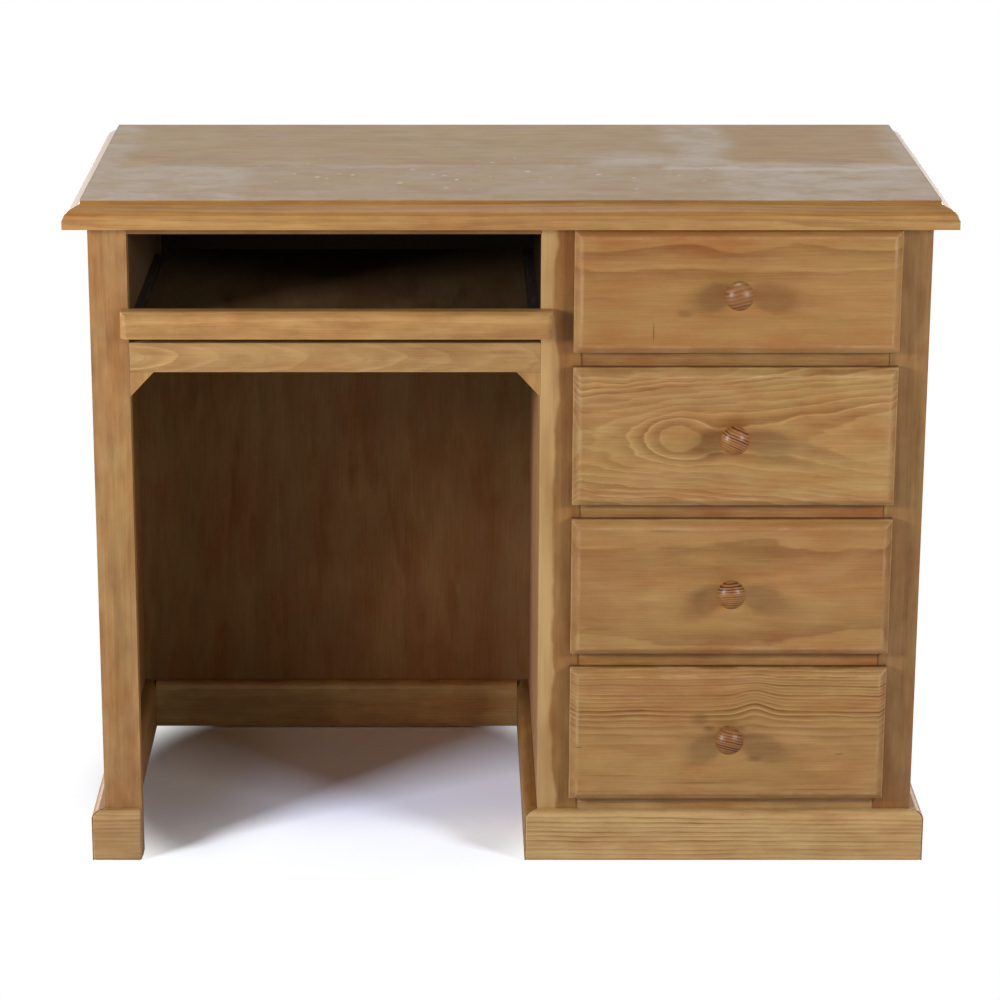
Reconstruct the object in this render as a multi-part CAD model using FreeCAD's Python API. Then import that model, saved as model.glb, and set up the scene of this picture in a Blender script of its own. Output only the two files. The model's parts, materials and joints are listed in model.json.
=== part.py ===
import FreeCAD, Part
import math
import os

# Kneehole desk in pine: a moulded top over a face frame, a pedestal of four drawers on the right
# and a pull-out keyboard tray over the kneehole on the left, with a skirting round the foot.
# Millimetres. X runs to the right, Y to the back and Z up, from the floor under the middle of the
# whole object, knobs included.

Vector = FreeCAD.Vector

# Overall
desk_height = 780.0
top_length = 985.0
top_depth = 480.0
top_thickness = 30.0
top_overhang_front = 26.0
top_overhang_side = 25.0
top_overhang_back = 6.0

# Moulded edge of the top, from its underside up: square band, nib, round, shoulder and quirk
moulding_width = 19.0
moulding_band = 10.0
moulding_nib = 0.9
moulding_round_width = 7.5
moulding_round_height = 10.7
moulding_round_bulge = 1.7
moulding_shoulder_bulge = 0.15
moulding_quirk = 4.6

# Face frame
frame_thickness = 20.0
outer_stile_width = 43.0
centre_stile_width = 45.0
kneehole_width = 459.0
rail_height = 34.0
rail_setback = 1.5
bottom_rail_top = 85.5
top_opening_drop = 19.5
top_rail_thickness = 10.0
top_rail_width = 44.0
gusset_width = 26.5
gusset_height = 28.5
gusset_thickness = 18.0

# Panels
panel_thickness = 9.0
back_panel_thickness = 6.0
floor_gap = 2.0

# Skirting
skirting_height = 60.5
skirting_thickness = 14.5
skirting_round = 9.0

# Drawers
drawer_count = 4
drawer_front_thickness = 18.0
drawer_bevel_width = 8.8
drawer_bevel_depth = 7.5
drawer_side_overlap = 8.7
drawer_head_overlap = 8.0
drawer_sill_overlap = 9.0
drawer_front_gap = 0.4
drawer_length = 400.0
drawer_side_thickness = 12.0
drawer_side_gap = 1.5
drawer_headroom = 8.0
drawer_back_drop = 6.0
drawer_bottom_thickness = 6.0
drawer_groove_depth = 5.0
drawer_groove_rise = 8.0
groove_clearance = 0.1

# Drawer runners: a bearer under each drawer side with a guide beside it
runner_gap = 0.3
bearer_thickness = 18.0
guide_height = 20.0

# Turned knobs
knob_diameter = 32.5
knob_projection = 36.0
knob_base_diameter = 19.0
knob_base_thickness = 3.0
knob_neck_diameter = 14.0
knob_shoulder_diameter = 21.0
knob_cap_diameter = 20.0
knob_neck_share = 0.21
knob_shoulder_share = 0.35
knob_widest_share = 0.625
knob_cap_share = 0.917
knob_spigot_diameter = 9.5
knob_spigot_length = 12.0
knob_hole_clearance = 0.05

# Where the knobs were drilled by eye, off the middle of each front from the top one down, as shares of its
# width and its height
knob_side_shares = (-0.0025, -0.005, -0.0045, 0.0)
knob_rise_shares = (0.0135, 0.0275, 0.005, 0.0155)

# Keyboard tray
tray_shelf_thickness = 12.0
tray_shelf_depth = 390.0
tray_rise = 9.5
lip_height = 31.0
lip_thickness = 20.0
lip_drop = 1.0
lip_round = 8.0
lip_gap = 0.5
lip_overlap_left = 8.0
lip_overlap_right = 12.5
batten_height = 34.0

# Roller slides of the tray, one pair on each side
slide_gap = 12.5
slide_sheet = 1.2
slide_length = 350.0
slide_setback = 1.0
channel_width = 9.0
channel_headroom = 0.6
flange_width = 14.0
screw_head_gap = 0.9
roller_diameter = 12.0
roller_width = 5.0
roller_clearance = 0.4
roller_inset = 10.0
roller_pin_diameter = 4.0
roller_bore_clearance = 0.06
roller_pin_end = 0.4

# Screws
top_screw_length = 28.0
top_screw_diameter = 4.0
top_screw_head_diameter = 8.0
top_screw_head_height = 3.0
slide_screw_length = 8.0
slide_screw_diameter = 3.5
slide_screw_head_diameter = 7.0
slide_screw_head_height = 1.5
screw_clearance = 0.05
top_screw_shares = (0.2, 0.8)
slide_screw_shares = (0.25, 0.75)

# Past the surface for a clean cut
overrun = 5.0

# Planes and edges that the pieces share. The knobs reach in front of the top.
knob_reach = max(0, drawer_front_gap + drawer_front_thickness + knob_projection - top_overhang_front)
top_back = (top_depth + knob_reach) / 2
top_front = top_back - top_depth
front = top_front + top_overhang_front
frame_back = front + frame_thickness
back = top_back - top_overhang_back
back_inside = back - back_panel_thickness
under_top = desk_height - top_thickness
under_top_rail = under_top - top_rail_thickness
right = top_length / 2 - top_overhang_side
left = -right
left_inside = left + panel_thickness
right_inside = right - panel_thickness
knee_left = left + outer_stile_width
knee_right = knee_left + kneehole_width
pedestal_inside = knee_right + panel_thickness
bay_left = knee_right + centre_stile_width
bay_right = right - outer_stile_width
# The drawers share the height between the bottom rail and the rail under the top. The top opening
# is lower than the others.
drawer_stack = under_top_rail - bottom_rail_top - (drawer_count - 1) * rail_height
drawer_opening_height = (drawer_stack + top_opening_drop) / drawer_count
drawer_pitch = drawer_opening_height + rail_height

pieces = {}


def block(x, y, z):
    """Solid box between a low and a high value on each axis."""
    return Part.makeBox(x[1] - x[0], y[1] - y[0], z[1] - z[0], Vector(x[0], y[0], z[0]))


def prism(points, run):
    """Solid drawn as a polygon of points and drawn out along the vector run."""
    return Part.Face(Part.makePolygon(points + points[:1])).extrude(run)


def edges_near(solid, points):
    """The edges of a solid whose middles lie nearest to the given points."""
    return [min(solid.Edges, key=lambda edge: edge.CenterOfMass.distanceToPoint(p)) for p in points]


def bowed(start, end, bulge, side):
    """Arc from start to end whose middle stands off the chord by bulge, towards side."""
    across = (end - start).cross(side).cross(end - start).normalize()
    return Part.Arc(start, (start + end) / 2 + across * bulge, end).toShape()


def line(start, end):
    """Straight edge between two points."""
    return Part.LineSegment(start, end).toShape()


def drawer_sill(number):
    """Height of the rail under a drawer. Drawer 1 is the top one."""
    return bottom_rail_top + (drawer_count - number) * drawer_pitch


def drawer_head(number):
    """Height of the underside of the rail over a drawer."""
    return under_top_rail if number == 1 else drawer_sill(number) + drawer_opening_height


def moulding_waste(place, run):
    """What the moulding takes off one edge. place maps an inset and a height to a point."""
    top = moulding_band + moulding_round_height
    low = place(-overrun, moulding_band)
    foot = place(moulding_nib, moulding_band)
    crest = place(moulding_nib + moulding_round_width, top)
    quirk = place(moulding_width, top_thickness - moulding_quirk)
    arris = place(moulding_width, top_thickness + overrun)
    high = place(-overrun, top_thickness + overrun)
    up = Vector(0, 0, 1)
    outline = Part.Wire([
        line(low, foot),
        bowed(foot, crest, moulding_round_bulge, up),
        bowed(crest, quirk, moulding_shoulder_bulge, up),
        line(quirk, arris),
        line(arris, high),
        line(high, low),
    ])
    return Part.Face(outline).extrude(run)


def make_top():
    """The top board, moulded along its front and both ends and square at the back."""
    half_length = top_length / 2
    board = block((-half_length, half_length), (top_front, top_back), (under_top, desk_height))
    along = Vector(top_length + 2 * overrun, 0, 0)
    inward = Vector(0, top_depth + 2 * overrun, 0)
    start_x = -half_length - overrun
    start_y = top_front - overrun
    front_waste = moulding_waste(
        lambda inset, height: Vector(start_x, top_front + inset, under_top + height), along)
    left_waste = moulding_waste(
        lambda inset, height: Vector(-half_length + inset, start_y, under_top + height), inward)
    right_waste = moulding_waste(
        lambda inset, height: Vector(half_length - inset, start_y, under_top + height), inward)
    pieces["desk_top"] = board.cut([front_waste, left_waste, right_waste])


def make_carcass():
    """Side panels, the panel between kneehole and drawers, and the back."""
    depth = (frame_back, back_inside)
    height = (0, under_top)
    pieces["left_side_panel"] = block((left, left_inside), depth, height)
    pieces["right_side_panel"] = block((right_inside, right), depth, height)
    pieces["pedestal_inner_panel"] = block((knee_right, pedestal_inside), depth, height)
    pieces["back_panel"] = block((left, right), (back_inside, back), (floor_gap, under_top))


def make_face_frame():
    """Stiles and rails of the front, the gussets under the knee rail and the rails under the top."""
    thickness = (front, frame_back)
    height = (0, under_top)
    knee = (knee_left, knee_right)
    bay = (bay_left, bay_right)
    pieces["left_stile"] = block((left, knee_left), thickness, height)
    pieces["centre_stile"] = block((knee_right, bay_left), thickness, height)
    pieces["right_stile"] = block((bay_right, right), thickness, height)

    knee_top = drawer_sill(1)
    knee_low = knee_top - rail_height
    pieces["knee_rail"] = block(knee, thickness, (knee_low, knee_top))
    inward = Vector(0, gusset_thickness, 0)
    gussets = []
    for corner, reach in ((knee_left, gusset_width), (knee_right, -gusset_width)):
        gussets.append(prism([
            Vector(corner, front, knee_low),
            Vector(corner + reach, front, knee_low),
            Vector(corner, front, knee_low - gusset_height),
        ], inward))
    pieces["knee_gussets"] = Part.makeCompound(gussets)

    set_back = (front + rail_setback, frame_back)
    for number in range(1, drawer_count):
        sill = drawer_sill(number)
        pieces[f"drawer_rail_{number}"] = block(bay, set_back, (sill - rail_height, sill))
    pieces["bottom_rail"] = block(bay, set_back, (bottom_rail_top - rail_height, bottom_rail_top))

    flat = (under_top_rail, under_top)
    front_rail = (front, front + top_rail_width)
    pieces["tray_top_rail"] = block(knee, front_rail, flat)
    pieces["drawer_top_rail"] = block(bay, front_rail, flat)
    pieces["back_top_rail"] = block(knee, (back_inside - top_rail_width, back_inside), flat)


def skirting(low, outer_start, outer_end, inner_end, inner_start):
    """Length of skirting over a plan of four corners, rounded along its outer top edge."""
    corners = [outer_start, outer_end, inner_end, inner_start]
    foot = [Vector(x, y, low) for x, y in corners]
    length = prism(foot, Vector(0, 0, skirting_height - low))
    middle = (foot[0] + foot[1]) / 2
    middle.z = skirting_height
    return length.makeFillet(skirting_round, edges_near(length, [middle]))


def make_skirting():
    """Skirting round the left leg and the pedestal, mitred at the corners, and across the back."""
    front_face = front - skirting_thickness
    left_face = left - skirting_thickness
    right_face = right + skirting_thickness
    leg_face = left_inside + skirting_thickness
    pedestal_face = knee_right - skirting_thickness
    back_face = back_inside - skirting_thickness
    pieces["left_front_plinth"] = skirting(
        0, (left_face, front_face), (knee_left, front_face), (knee_left, front), (left, front))
    pieces["left_outer_plinth"] = skirting(
        0, (left_face, front_face), (left_face, back), (left, back), (left, front))
    pieces["left_inner_plinth"] = skirting(
        0, (leg_face, frame_back), (leg_face, back_inside),
        (left_inside, back_inside), (left_inside, frame_back))
    pieces["back_plinth"] = skirting(
        floor_gap, (leg_face, back_face), (pedestal_face, back_face),
        (pedestal_face, back_inside), (leg_face, back_inside))
    pieces["pedestal_inner_plinth"] = skirting(
        0, (pedestal_face, front_face), (pedestal_face, back_inside),
        (knee_right, back_inside), (knee_right, front))
    pieces["pedestal_front_plinth"] = skirting(
        0, (pedestal_face, front_face), (right_face, front_face), (right, front), (knee_right, front))
    pieces["pedestal_outer_plinth"] = skirting(
        0, (right_face, front_face), (right_face, back), (right, back), (right, front))


def make_runners():
    """Eight runners of L section, glued to the pedestal's walls beside the drawers."""
    reach = drawer_side_gap + drawer_side_thickness
    run = Vector(0, back_inside - frame_back, 0)
    runners = []
    for number in range(1, drawer_count + 1):
        sill = drawer_sill(number)
        for wall, edge, toe in ((pedestal_inside, bay_left, bay_left + reach),
                                (right_inside, bay_right, bay_right - reach)):
            section = [
                (wall, sill - bearer_thickness),
                (toe, sill - bearer_thickness),
                (toe, sill),
                (edge, sill),
                (edge, sill + guide_height),
                (wall, sill + guide_height),
            ]
            runners.append(prism([Vector(x, frame_back, z) for x, z in section], run))
    pieces["drawer_runners"] = Part.makeCompound(runners)


def bevelled_front(x, z, back_face):
    """Drawer front with a square back edge and a bevel round its face."""
    face = back_face - drawer_front_thickness
    shoulder = face + drawer_bevel_depth
    w = drawer_bevel_width
    bevel = Part.makeWedge(x[0] + w, face, z[0] + w, z[0], x[0], x[1] - w, shoulder, z[1] - w, z[1], x[1])
    return bevel.fuse(block(x, (shoulder, back_face), z)).removeSplitter()


def turned_knob(centre_x, face, centre_z):
    """Knob turned about an axis square to the drawer front, with a spigot behind it."""
    def at(radius, out):
        return Vector(centre_x + radius, face - out, centre_z)

    cap_radius = knob_cap_diameter / 2
    cap_out = knob_projection * knob_cap_share
    cap_height = knob_projection - cap_out
    crown_radius = (cap_radius ** 2 + cap_height ** 2) / (2 * cap_height)
    crown_turn = math.asin(cap_radius / crown_radius) / 2
    crown_centre = knob_projection - crown_radius

    tail = at(0, -knob_spigot_length)
    spigot = at(knob_spigot_diameter / 2, -knob_spigot_length)
    seat = at(knob_spigot_diameter / 2, 0)
    base = at(knob_base_diameter / 2, 0)
    rim = at(knob_base_diameter / 2, knob_base_thickness)
    neck = at(knob_neck_diameter / 2, knob_projection * knob_neck_share)
    shoulder = at(knob_shoulder_diameter / 2, knob_projection * knob_shoulder_share)
    widest = at(knob_diameter / 2, knob_projection * knob_widest_share)
    cap = at(cap_radius, cap_out)
    crown = at(crown_radius * math.sin(crown_turn), crown_centre + crown_radius * math.cos(crown_turn))
    tip = at(0, knob_projection)
    outline = Part.Wire([
        line(tail, spigot),
        line(spigot, seat),
        line(seat, base),
        line(base, rim),
        Part.Arc(rim, neck, shoulder).toShape(),
        Part.Arc(shoulder, widest, cap).toShape(),
        Part.Arc(cap, crown, tip).toShape(),
        line(tip, tail),
    ])
    return Part.Face(outline).revolve(tip, Vector(0, 1, 0), 360)


def make_drawer(number):
    """One drawer: a bevelled front over the frame, two grooved sides, a back, a bottom and a knob."""
    sill = drawer_sill(number)
    head = drawer_head(number)
    front_back = front - drawer_front_gap
    face = front_back - drawer_front_thickness
    box_back = front_back + drawer_length
    box_low = sill + runner_gap
    box_high = head - drawer_headroom
    outer_left = bay_left + drawer_side_gap
    outer_right = bay_right - drawer_side_gap
    inner_left = outer_left + drawer_side_thickness
    inner_right = outer_right - drawer_side_thickness
    bottom_low = box_low + drawer_groove_rise
    bottom_high = bottom_low + drawer_bottom_thickness

    groove = block(
        (inner_left - drawer_groove_depth, inner_right + drawer_groove_depth),
        (front_back - drawer_groove_depth, box_back + overrun),
        (bottom_low - groove_clearance, bottom_high + groove_clearance))
    front_x = (bay_left - drawer_side_overlap, bay_right + drawer_side_overlap)
    front_z = (sill - drawer_sill_overlap, head + drawer_head_overlap)
    side_share = 1 / 2 + knob_side_shares[number - 1]
    rise_share = 1 / 2 + knob_rise_shares[number - 1]
    centre_x = front_x[0] + (front_x[1] - front_x[0]) * side_share
    centre_z = front_z[0] + (front_z[1] - front_z[0]) * rise_share
    hole_depth = knob_spigot_length + knob_hole_clearance
    knob_hole = Part.makeCylinder(
        knob_spigot_diameter / 2 + knob_hole_clearance, hole_depth + overrun,
        Vector(centre_x, face - overrun, centre_z), Vector(0, 1, 0))
    board = bevelled_front(front_x, front_z, front_back)
    name = f"drawer_{number}"
    pieces[f"{name}_front"] = board.cut([groove, knob_hole])

    side_y = (front_back, box_back)
    side_z = (box_low, box_high)
    pieces[f"{name}_left_side"] = block((outer_left, inner_left), side_y, side_z).cut(groove)
    pieces[f"{name}_right_side"] = block((inner_right, outer_right), side_y, side_z).cut(groove)
    pieces[f"{name}_back"] = block(
        (inner_left, inner_right), (box_back - drawer_side_thickness, box_back),
        (bottom_high, box_high - drawer_back_drop))
    tongue = drawer_groove_depth - groove_clearance
    pieces[f"{name}_bottom"] = block(
        (inner_left - tongue, inner_right + tongue), (front_back - tongue, box_back),
        (bottom_low, bottom_high))
    pieces[f"{name}_knob"] = turned_knob(centre_x, face, centre_z)


# Levels of the tray and its slides
shelf_low = drawer_sill(1) + tray_rise
shelf_high = shelf_low + tray_shelf_thickness
lip_back = front - lip_gap
rail_under = shelf_high - slide_sheet
channel_floor = rail_under - roller_diameter - 2 * roller_clearance
channel_ceiling = shelf_high + channel_headroom
roller_level = (rail_under + channel_floor) / 2
slide_front = front + slide_setback
slide_back = slide_front + slide_length
front_roller_y = slide_front + roller_inset
rear_roller_y = slide_back - roller_inset
rail_reach = slide_sheet + slide_screw_head_height + screw_head_gap
roller_end = rail_reach + roller_width
tray_walls = ((knee_left, 1), (knee_right, -1))


def make_tray():
    """Shelf of the tray with the moulded lip along its front."""
    shelf_x = (knee_left + slide_gap, knee_right - slide_gap)
    shelf_y = (lip_back, lip_back + tray_shelf_depth)
    pieces["tray_shelf"] = block(shelf_x, shelf_y, (shelf_low, shelf_high))

    lip_x = (knee_left - lip_overlap_left, knee_right + lip_overlap_right)
    lip_front = lip_back - lip_thickness
    lip_low = shelf_low - lip_drop
    lip_top = lip_low + lip_height
    lip = block(lip_x, (lip_front, lip_back), (lip_low, lip_top))
    lip_middle = (lip_low + lip_top) / 2
    rounded = edges_near(lip, [
        Vector((lip_x[0] + lip_x[1]) / 2, lip_front, lip_top),
        Vector(lip_x[0], lip_front, lip_middle),
        Vector(lip_x[1], lip_front, lip_middle),
    ])
    pieces["tray_lip"] = lip.makeFillet(lip_round, rounded)


def make_tray_wall():
    """Left wall of the tray's space, flush with the stile, on two battens from the side panel."""
    outer = knee_left - panel_thickness
    low = drawer_sill(1) - rail_height
    depth = (frame_back, back_inside)
    pieces["tray_side_panel"] = block((outer, knee_left), depth, (low, under_top))
    gap = (left_inside, outer)
    pieces["tray_side_battens"] = Part.makeCompound([
        block(gap, depth, (low, low + batten_height)),
        block(gap, depth, (under_top - batten_height, under_top)),
    ])


def slide_bar(wall, side, points):
    """Length of slide drawn as a section of distances out from a wall and heights."""
    section = [Vector(wall + side * out, slide_front, z) for out, z in points]
    return prism(section, Vector(0, slide_length, 0))


def slide_pin(wall, side, diameter, start, end, y):
    """Round bar across a slide, between two distances out from its wall."""
    return Part.makeCylinder(
        diameter / 2, end - start, Vector(wall + side * start, y, roller_level), Vector(side, 0, 0))


def slide_roller(wall, side, y):
    """Roller of a slide with the bore for its pin."""
    bore = roller_pin_diameter + 2 * roller_bore_clearance
    wheel = slide_pin(wall, side, roller_diameter, rail_reach, roller_end, y)
    return wheel.cut(slide_pin(wall, side, bore, rail_reach - overrun, roller_end + overrun, y))


def make_slides():
    """Channels on the walls, rails under the shelf, and a roller at the front and back of each pair."""
    web = slide_gap - slide_sheet
    flange_end = slide_gap + flange_width
    low = channel_floor - slide_sheet
    high = channel_ceiling + slide_sheet
    rail_low = shelf_low - slide_sheet
    channel_section = [
        (0, low),
        (channel_width, low),
        (channel_width, channel_floor),
        (slide_sheet, channel_floor),
        (slide_sheet, channel_ceiling),
        (channel_width, channel_ceiling),
        (channel_width, high),
        (0, high),
    ]
    rail_section = [
        (web, rail_low),
        (flange_end, rail_low),
        (flange_end, shelf_low),
        (slide_gap, shelf_low),
        (slide_gap, shelf_high),
        (rail_reach, shelf_high),
        (rail_reach, rail_under),
        (web, rail_under),
    ]
    channels = []
    rails = []
    front_rollers = []
    rear_rollers = []
    for wall, side in tray_walls:
        front_pin = slide_pin(
            wall, side, roller_pin_diameter, 0, roller_end + roller_pin_end, front_roller_y)
        rear_pin = slide_pin(
            wall, side, roller_pin_diameter, rail_reach - roller_pin_end, slide_gap, rear_roller_y)
        channels.append(slide_bar(wall, side, channel_section).fuse(front_pin).removeSplitter())
        rails.append(slide_bar(wall, side, rail_section).fuse(rear_pin).removeSplitter())
        front_rollers.append(slide_roller(wall, side, front_roller_y))
        rear_rollers.append(slide_roller(wall, side, rear_roller_y))
    pieces["slide_channels"] = Part.makeCompound(channels)
    pieces["slide_rails"] = Part.makeCompound(rails)
    pieces["front_rollers"] = Part.makeCompound(front_rollers)
    pieces["rear_rollers"] = Part.makeCompound(rear_rollers)


def countersunk_screw(head, slack):
    """Screw driven upwards from its flat head, or its hole where slack is the clearance round it."""
    shank = top_screw_diameter / 2 + slack
    cone = Part.makeCone(top_screw_head_diameter / 2 + slack, shank, top_screw_head_height, head)
    return cone.fuse(Part.makeCylinder(shank, top_screw_length + slack, head)).removeSplitter()


def pan_screw(seat, inward, slack):
    """Screw with a flat round head that stands on its seat, or its hole where slack is given."""
    shank = Part.makeCylinder(
        slide_screw_diameter / 2 + slack, slide_screw_length + slide_screw_head_height,
        seat - inward * slide_screw_head_height, inward)
    head = Part.makeCylinder(
        slide_screw_head_diameter / 2, slide_screw_head_height, seat, -inward)
    return shank if slack else head.fuse(shank).removeSplitter()


def drill(names, holes):
    """Take holes out of every named piece that they reach, keeping a group a group."""
    for name in names:
        solids = [solid.cut(holes) for solid in pieces[name].Solids]
        pieces[name] = solids[0] if len(solids) == 1 else Part.makeCompound(solids)


def make_screws():
    """Screws that hold the top down, the channels to the walls and the rails to the shelf."""
    up = Vector(0, 0, 1)
    heads = []
    for name in ("tray_top_rail", "drawer_top_rail", "back_top_rail"):
        rail = pieces[name].BoundBox
        for share in top_screw_shares:
            heads.append(Vector(rail.XMin + share * rail.XLength, rail.Center.y, under_top_rail))
    drill(["desk_top", "tray_top_rail", "drawer_top_rail", "back_top_rail"],
          [countersunk_screw(head, screw_clearance) for head in heads])
    pieces["top_fixing_screws"] = Part.makeCompound([countersunk_screw(head, 0) for head in heads])

    wall_seats = []
    shelf_seats = []
    for wall, side in tray_walls:
        outward = Vector(-side, 0, 0)
        for share in slide_screw_shares:
            y = slide_front + share * slide_length
            wall_seats.append((Vector(wall + side * slide_sheet, y, roller_level), outward))
            shelf_x = wall + side * (slide_gap + flange_width / 2)
            shelf_seats.append((Vector(shelf_x, y, shelf_low - slide_sheet), up))
    drill(["slide_channels", "tray_side_panel", "pedestal_inner_panel"],
          [pan_screw(seat, inward, screw_clearance) for seat, inward in wall_seats])
    drill(["slide_rails", "tray_shelf"],
          [pan_screw(seat, inward, screw_clearance) for seat, inward in shelf_seats])
    pieces["slide_screws"] = Part.makeCompound([pan_screw(seat, inward, 0) for seat, inward in wall_seats])
    pieces["tray_screws"] = Part.makeCompound([pan_screw(seat, inward, 0) for seat, inward in shelf_seats])


make_top()
make_carcass()
make_face_frame()
make_skirting()
make_runners()
for drawer in range(1, drawer_count + 1):
    make_drawer(drawer)
make_tray()
make_tray_wall()
make_slides()
make_screws()

os.makedirs("parts", exist_ok=True)
for name, shape in pieces.items():
    shape.exportStep(f"parts/{name}.step")
    box = shape.BoundBox
    print(f"{name}: {len(shape.Solids)} solid(s), valid {shape.isValid()}, {shape.Volume / 1000:.1f} cm3, "
          f"{box.XLength:.1f} x {box.YLength:.1f} x {box.ZLength:.1f}")
print(len(pieces), "nodes")
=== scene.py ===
# %% [markdown]
# # A kneehole desk in waxed pine
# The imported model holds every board, runner and screw of the desk at its true size. This lesson loads it,
# sets up a camera and soft lamps, and then finishes the desk as a workshop would: the arrises are rubbed
# round, the drawer fronts are planed, the knobs are turned, and each board gets its own cut of pine.

import json
import math

import bmesh
import bpy
from mathutils import Matrix, Vector, noise


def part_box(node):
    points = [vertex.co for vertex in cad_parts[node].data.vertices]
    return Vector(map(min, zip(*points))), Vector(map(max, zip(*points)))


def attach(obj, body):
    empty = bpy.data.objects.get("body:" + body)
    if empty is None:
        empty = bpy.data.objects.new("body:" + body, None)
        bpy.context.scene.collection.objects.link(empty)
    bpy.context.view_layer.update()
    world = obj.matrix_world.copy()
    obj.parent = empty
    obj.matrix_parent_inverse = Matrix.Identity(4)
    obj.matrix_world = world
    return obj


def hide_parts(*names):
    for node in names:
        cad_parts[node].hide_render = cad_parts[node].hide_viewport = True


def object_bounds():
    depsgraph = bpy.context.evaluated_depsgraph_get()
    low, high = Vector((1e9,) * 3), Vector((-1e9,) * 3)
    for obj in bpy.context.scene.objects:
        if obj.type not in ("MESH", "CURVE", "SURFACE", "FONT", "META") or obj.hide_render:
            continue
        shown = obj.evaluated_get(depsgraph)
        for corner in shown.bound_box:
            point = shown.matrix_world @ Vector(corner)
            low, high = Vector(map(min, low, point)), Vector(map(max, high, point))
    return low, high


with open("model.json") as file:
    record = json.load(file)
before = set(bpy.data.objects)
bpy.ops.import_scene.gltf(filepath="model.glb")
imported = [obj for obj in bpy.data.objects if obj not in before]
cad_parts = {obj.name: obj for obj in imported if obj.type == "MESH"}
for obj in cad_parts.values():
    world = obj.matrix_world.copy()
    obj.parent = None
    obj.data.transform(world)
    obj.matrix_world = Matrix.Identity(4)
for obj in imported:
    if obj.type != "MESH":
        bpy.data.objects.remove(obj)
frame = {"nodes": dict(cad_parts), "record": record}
cad_low, cad_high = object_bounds()
nodes = frame["nodes"]
body_of = {node: body for body, members in frame["record"]["behaviour"]["bodies"].items() for node in members}
MM = 0.001
DRAWERS = range(1, 5)
print(f"loaded {len(nodes)} nodes, box {[round(v, 4) for v in cad_high - cad_low]} m")

# %% [markdown]
# ## Camera
# The desk is seen from the front, slightly from above, with its uprights converging a little downwards. The
# lens is long and level from side to side, so the camera only pitches down. The picture's middle is to the
# right of the lens axis, which is what the sideways shift stands for.

# %% Camera
CAMERA_PLACE = Vector((-0.0698, -3.8308, 1.5185))
CAMERA_PITCH = math.radians(90 - 16.635)
LENS_MM = 120.71
SIDEWAYS_SHIFT = 0.0528

scene = bpy.context.scene
scene.view_settings.view_transform = "Standard"
lens = bpy.data.cameras.new("camera")
lens.lens = LENS_MM
lens.sensor_width = 36.0
lens.shift_x = SIDEWAYS_SHIFT
camera = bpy.data.objects.new("camera", lens)
camera.location = CAMERA_PLACE
camera.rotation_euler = (CAMERA_PITCH, 0, 0)
scene.collection.objects.link(camera)
scene.camera = camera
print("camera at", tuple(round(v, 3) for v in camera.location))

# %% [markdown]
# ## Writing node trees as formulas
# Shader and geometry trees are easier to read as formulas than as lists of links. This small helper adds a
# node with each call, fills its sockets with numbers or with outputs of earlier nodes, and gives back its
# output.

# %% Node helper
class Sketch:
    """Adds nodes to one tree. A value for a socket is a number, a colour, a vector or another output."""

    def __init__(self, tree):
        self.tree = tree

    def node(self, kind, values=None, **settings):
        made = self.tree.nodes.new(kind)
        for name, setting in settings.items():
            setattr(made, name, setting)
        for key, value in (values or {}).items():
            self.feed(made.inputs[key], value)
        return made

    def group(self, tree, values):
        return self.node("ShaderNodeGroup", values, node_tree=tree).outputs

    def feed(self, socket, value):
        if isinstance(value, bpy.types.NodeSocket):
            self.tree.links.new(value, socket)
        elif value is not None:
            socket.default_value = value

    def math(self, operation, a, b=None, c=None):
        return self.node("ShaderNodeMath", {0: a, 1: b, 2: c}, operation=operation).outputs[0]

    def total(self, first, *others):
        for other in others:
            first = self.math("ADD", first, other)
        return first

    def product(self, first, *others):
        for other in others:
            first = self.math("MULTIPLY", first, other)
        return first

    def vector(self, operation, a, b=None):
        return self.node("ShaderNodeVectorMath", {0: a, 1: b}, operation=operation).outputs[0]

    def length(self, vector):
        return self.node("ShaderNodeVectorMath", {0: vector}, operation="LENGTH").outputs[1]

    def join(self, x, y, z):
        return self.node("ShaderNodeCombineXYZ", {0: x, 1: y, 2: z}).outputs[0]

    def split(self, vector):
        return self.node("ShaderNodeSeparateXYZ", {0: vector}).outputs

    def noise(self, vector, scale=1.0, detail=2.0, roughness=0.5):
        values = {"Vector": vector, "Scale": scale, "Detail": detail, "Roughness": roughness}
        return self.node("ShaderNodeTexNoise", values).outputs[0]

    def sway(self, vector, scale=1.0, detail=1.0):
        """Noise about zero, from -0.5 to 0.5."""
        return self.math("SUBTRACT", self.noise(vector, scale, detail), 0.5)

    def mix(self, factor, a, b, **settings):
        made = self.node("ShaderNodeMix", {0: factor, 6: a, 7: b}, data_type="RGBA", **settings)
        return made.outputs[2]

    def tinted(self, colour, tint):
        return self.mix(1.0, colour, tint, blend_type="MULTIPLY")

    def smooth(self, value, low, high, start=0.0, end=1.0):
        values = {0: value, 1: low, 2: high, 3: start, 4: end}
        made = self.node("ShaderNodeMapRange", values, interpolation_type="SMOOTHSTEP")
        return made.outputs[0]

    def place(self):
        """The surface's place in its object, in metres."""
        return self.node("ShaderNodeTexCoord").outputs["Object"]

    def coat(self, values):
        """Gives the material a surface with these values."""
        shader = self.node("ShaderNodeBsdfPrincipled", values)
        self.node("ShaderNodeOutputMaterial", {"Surface": shader.outputs[0]})


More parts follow.
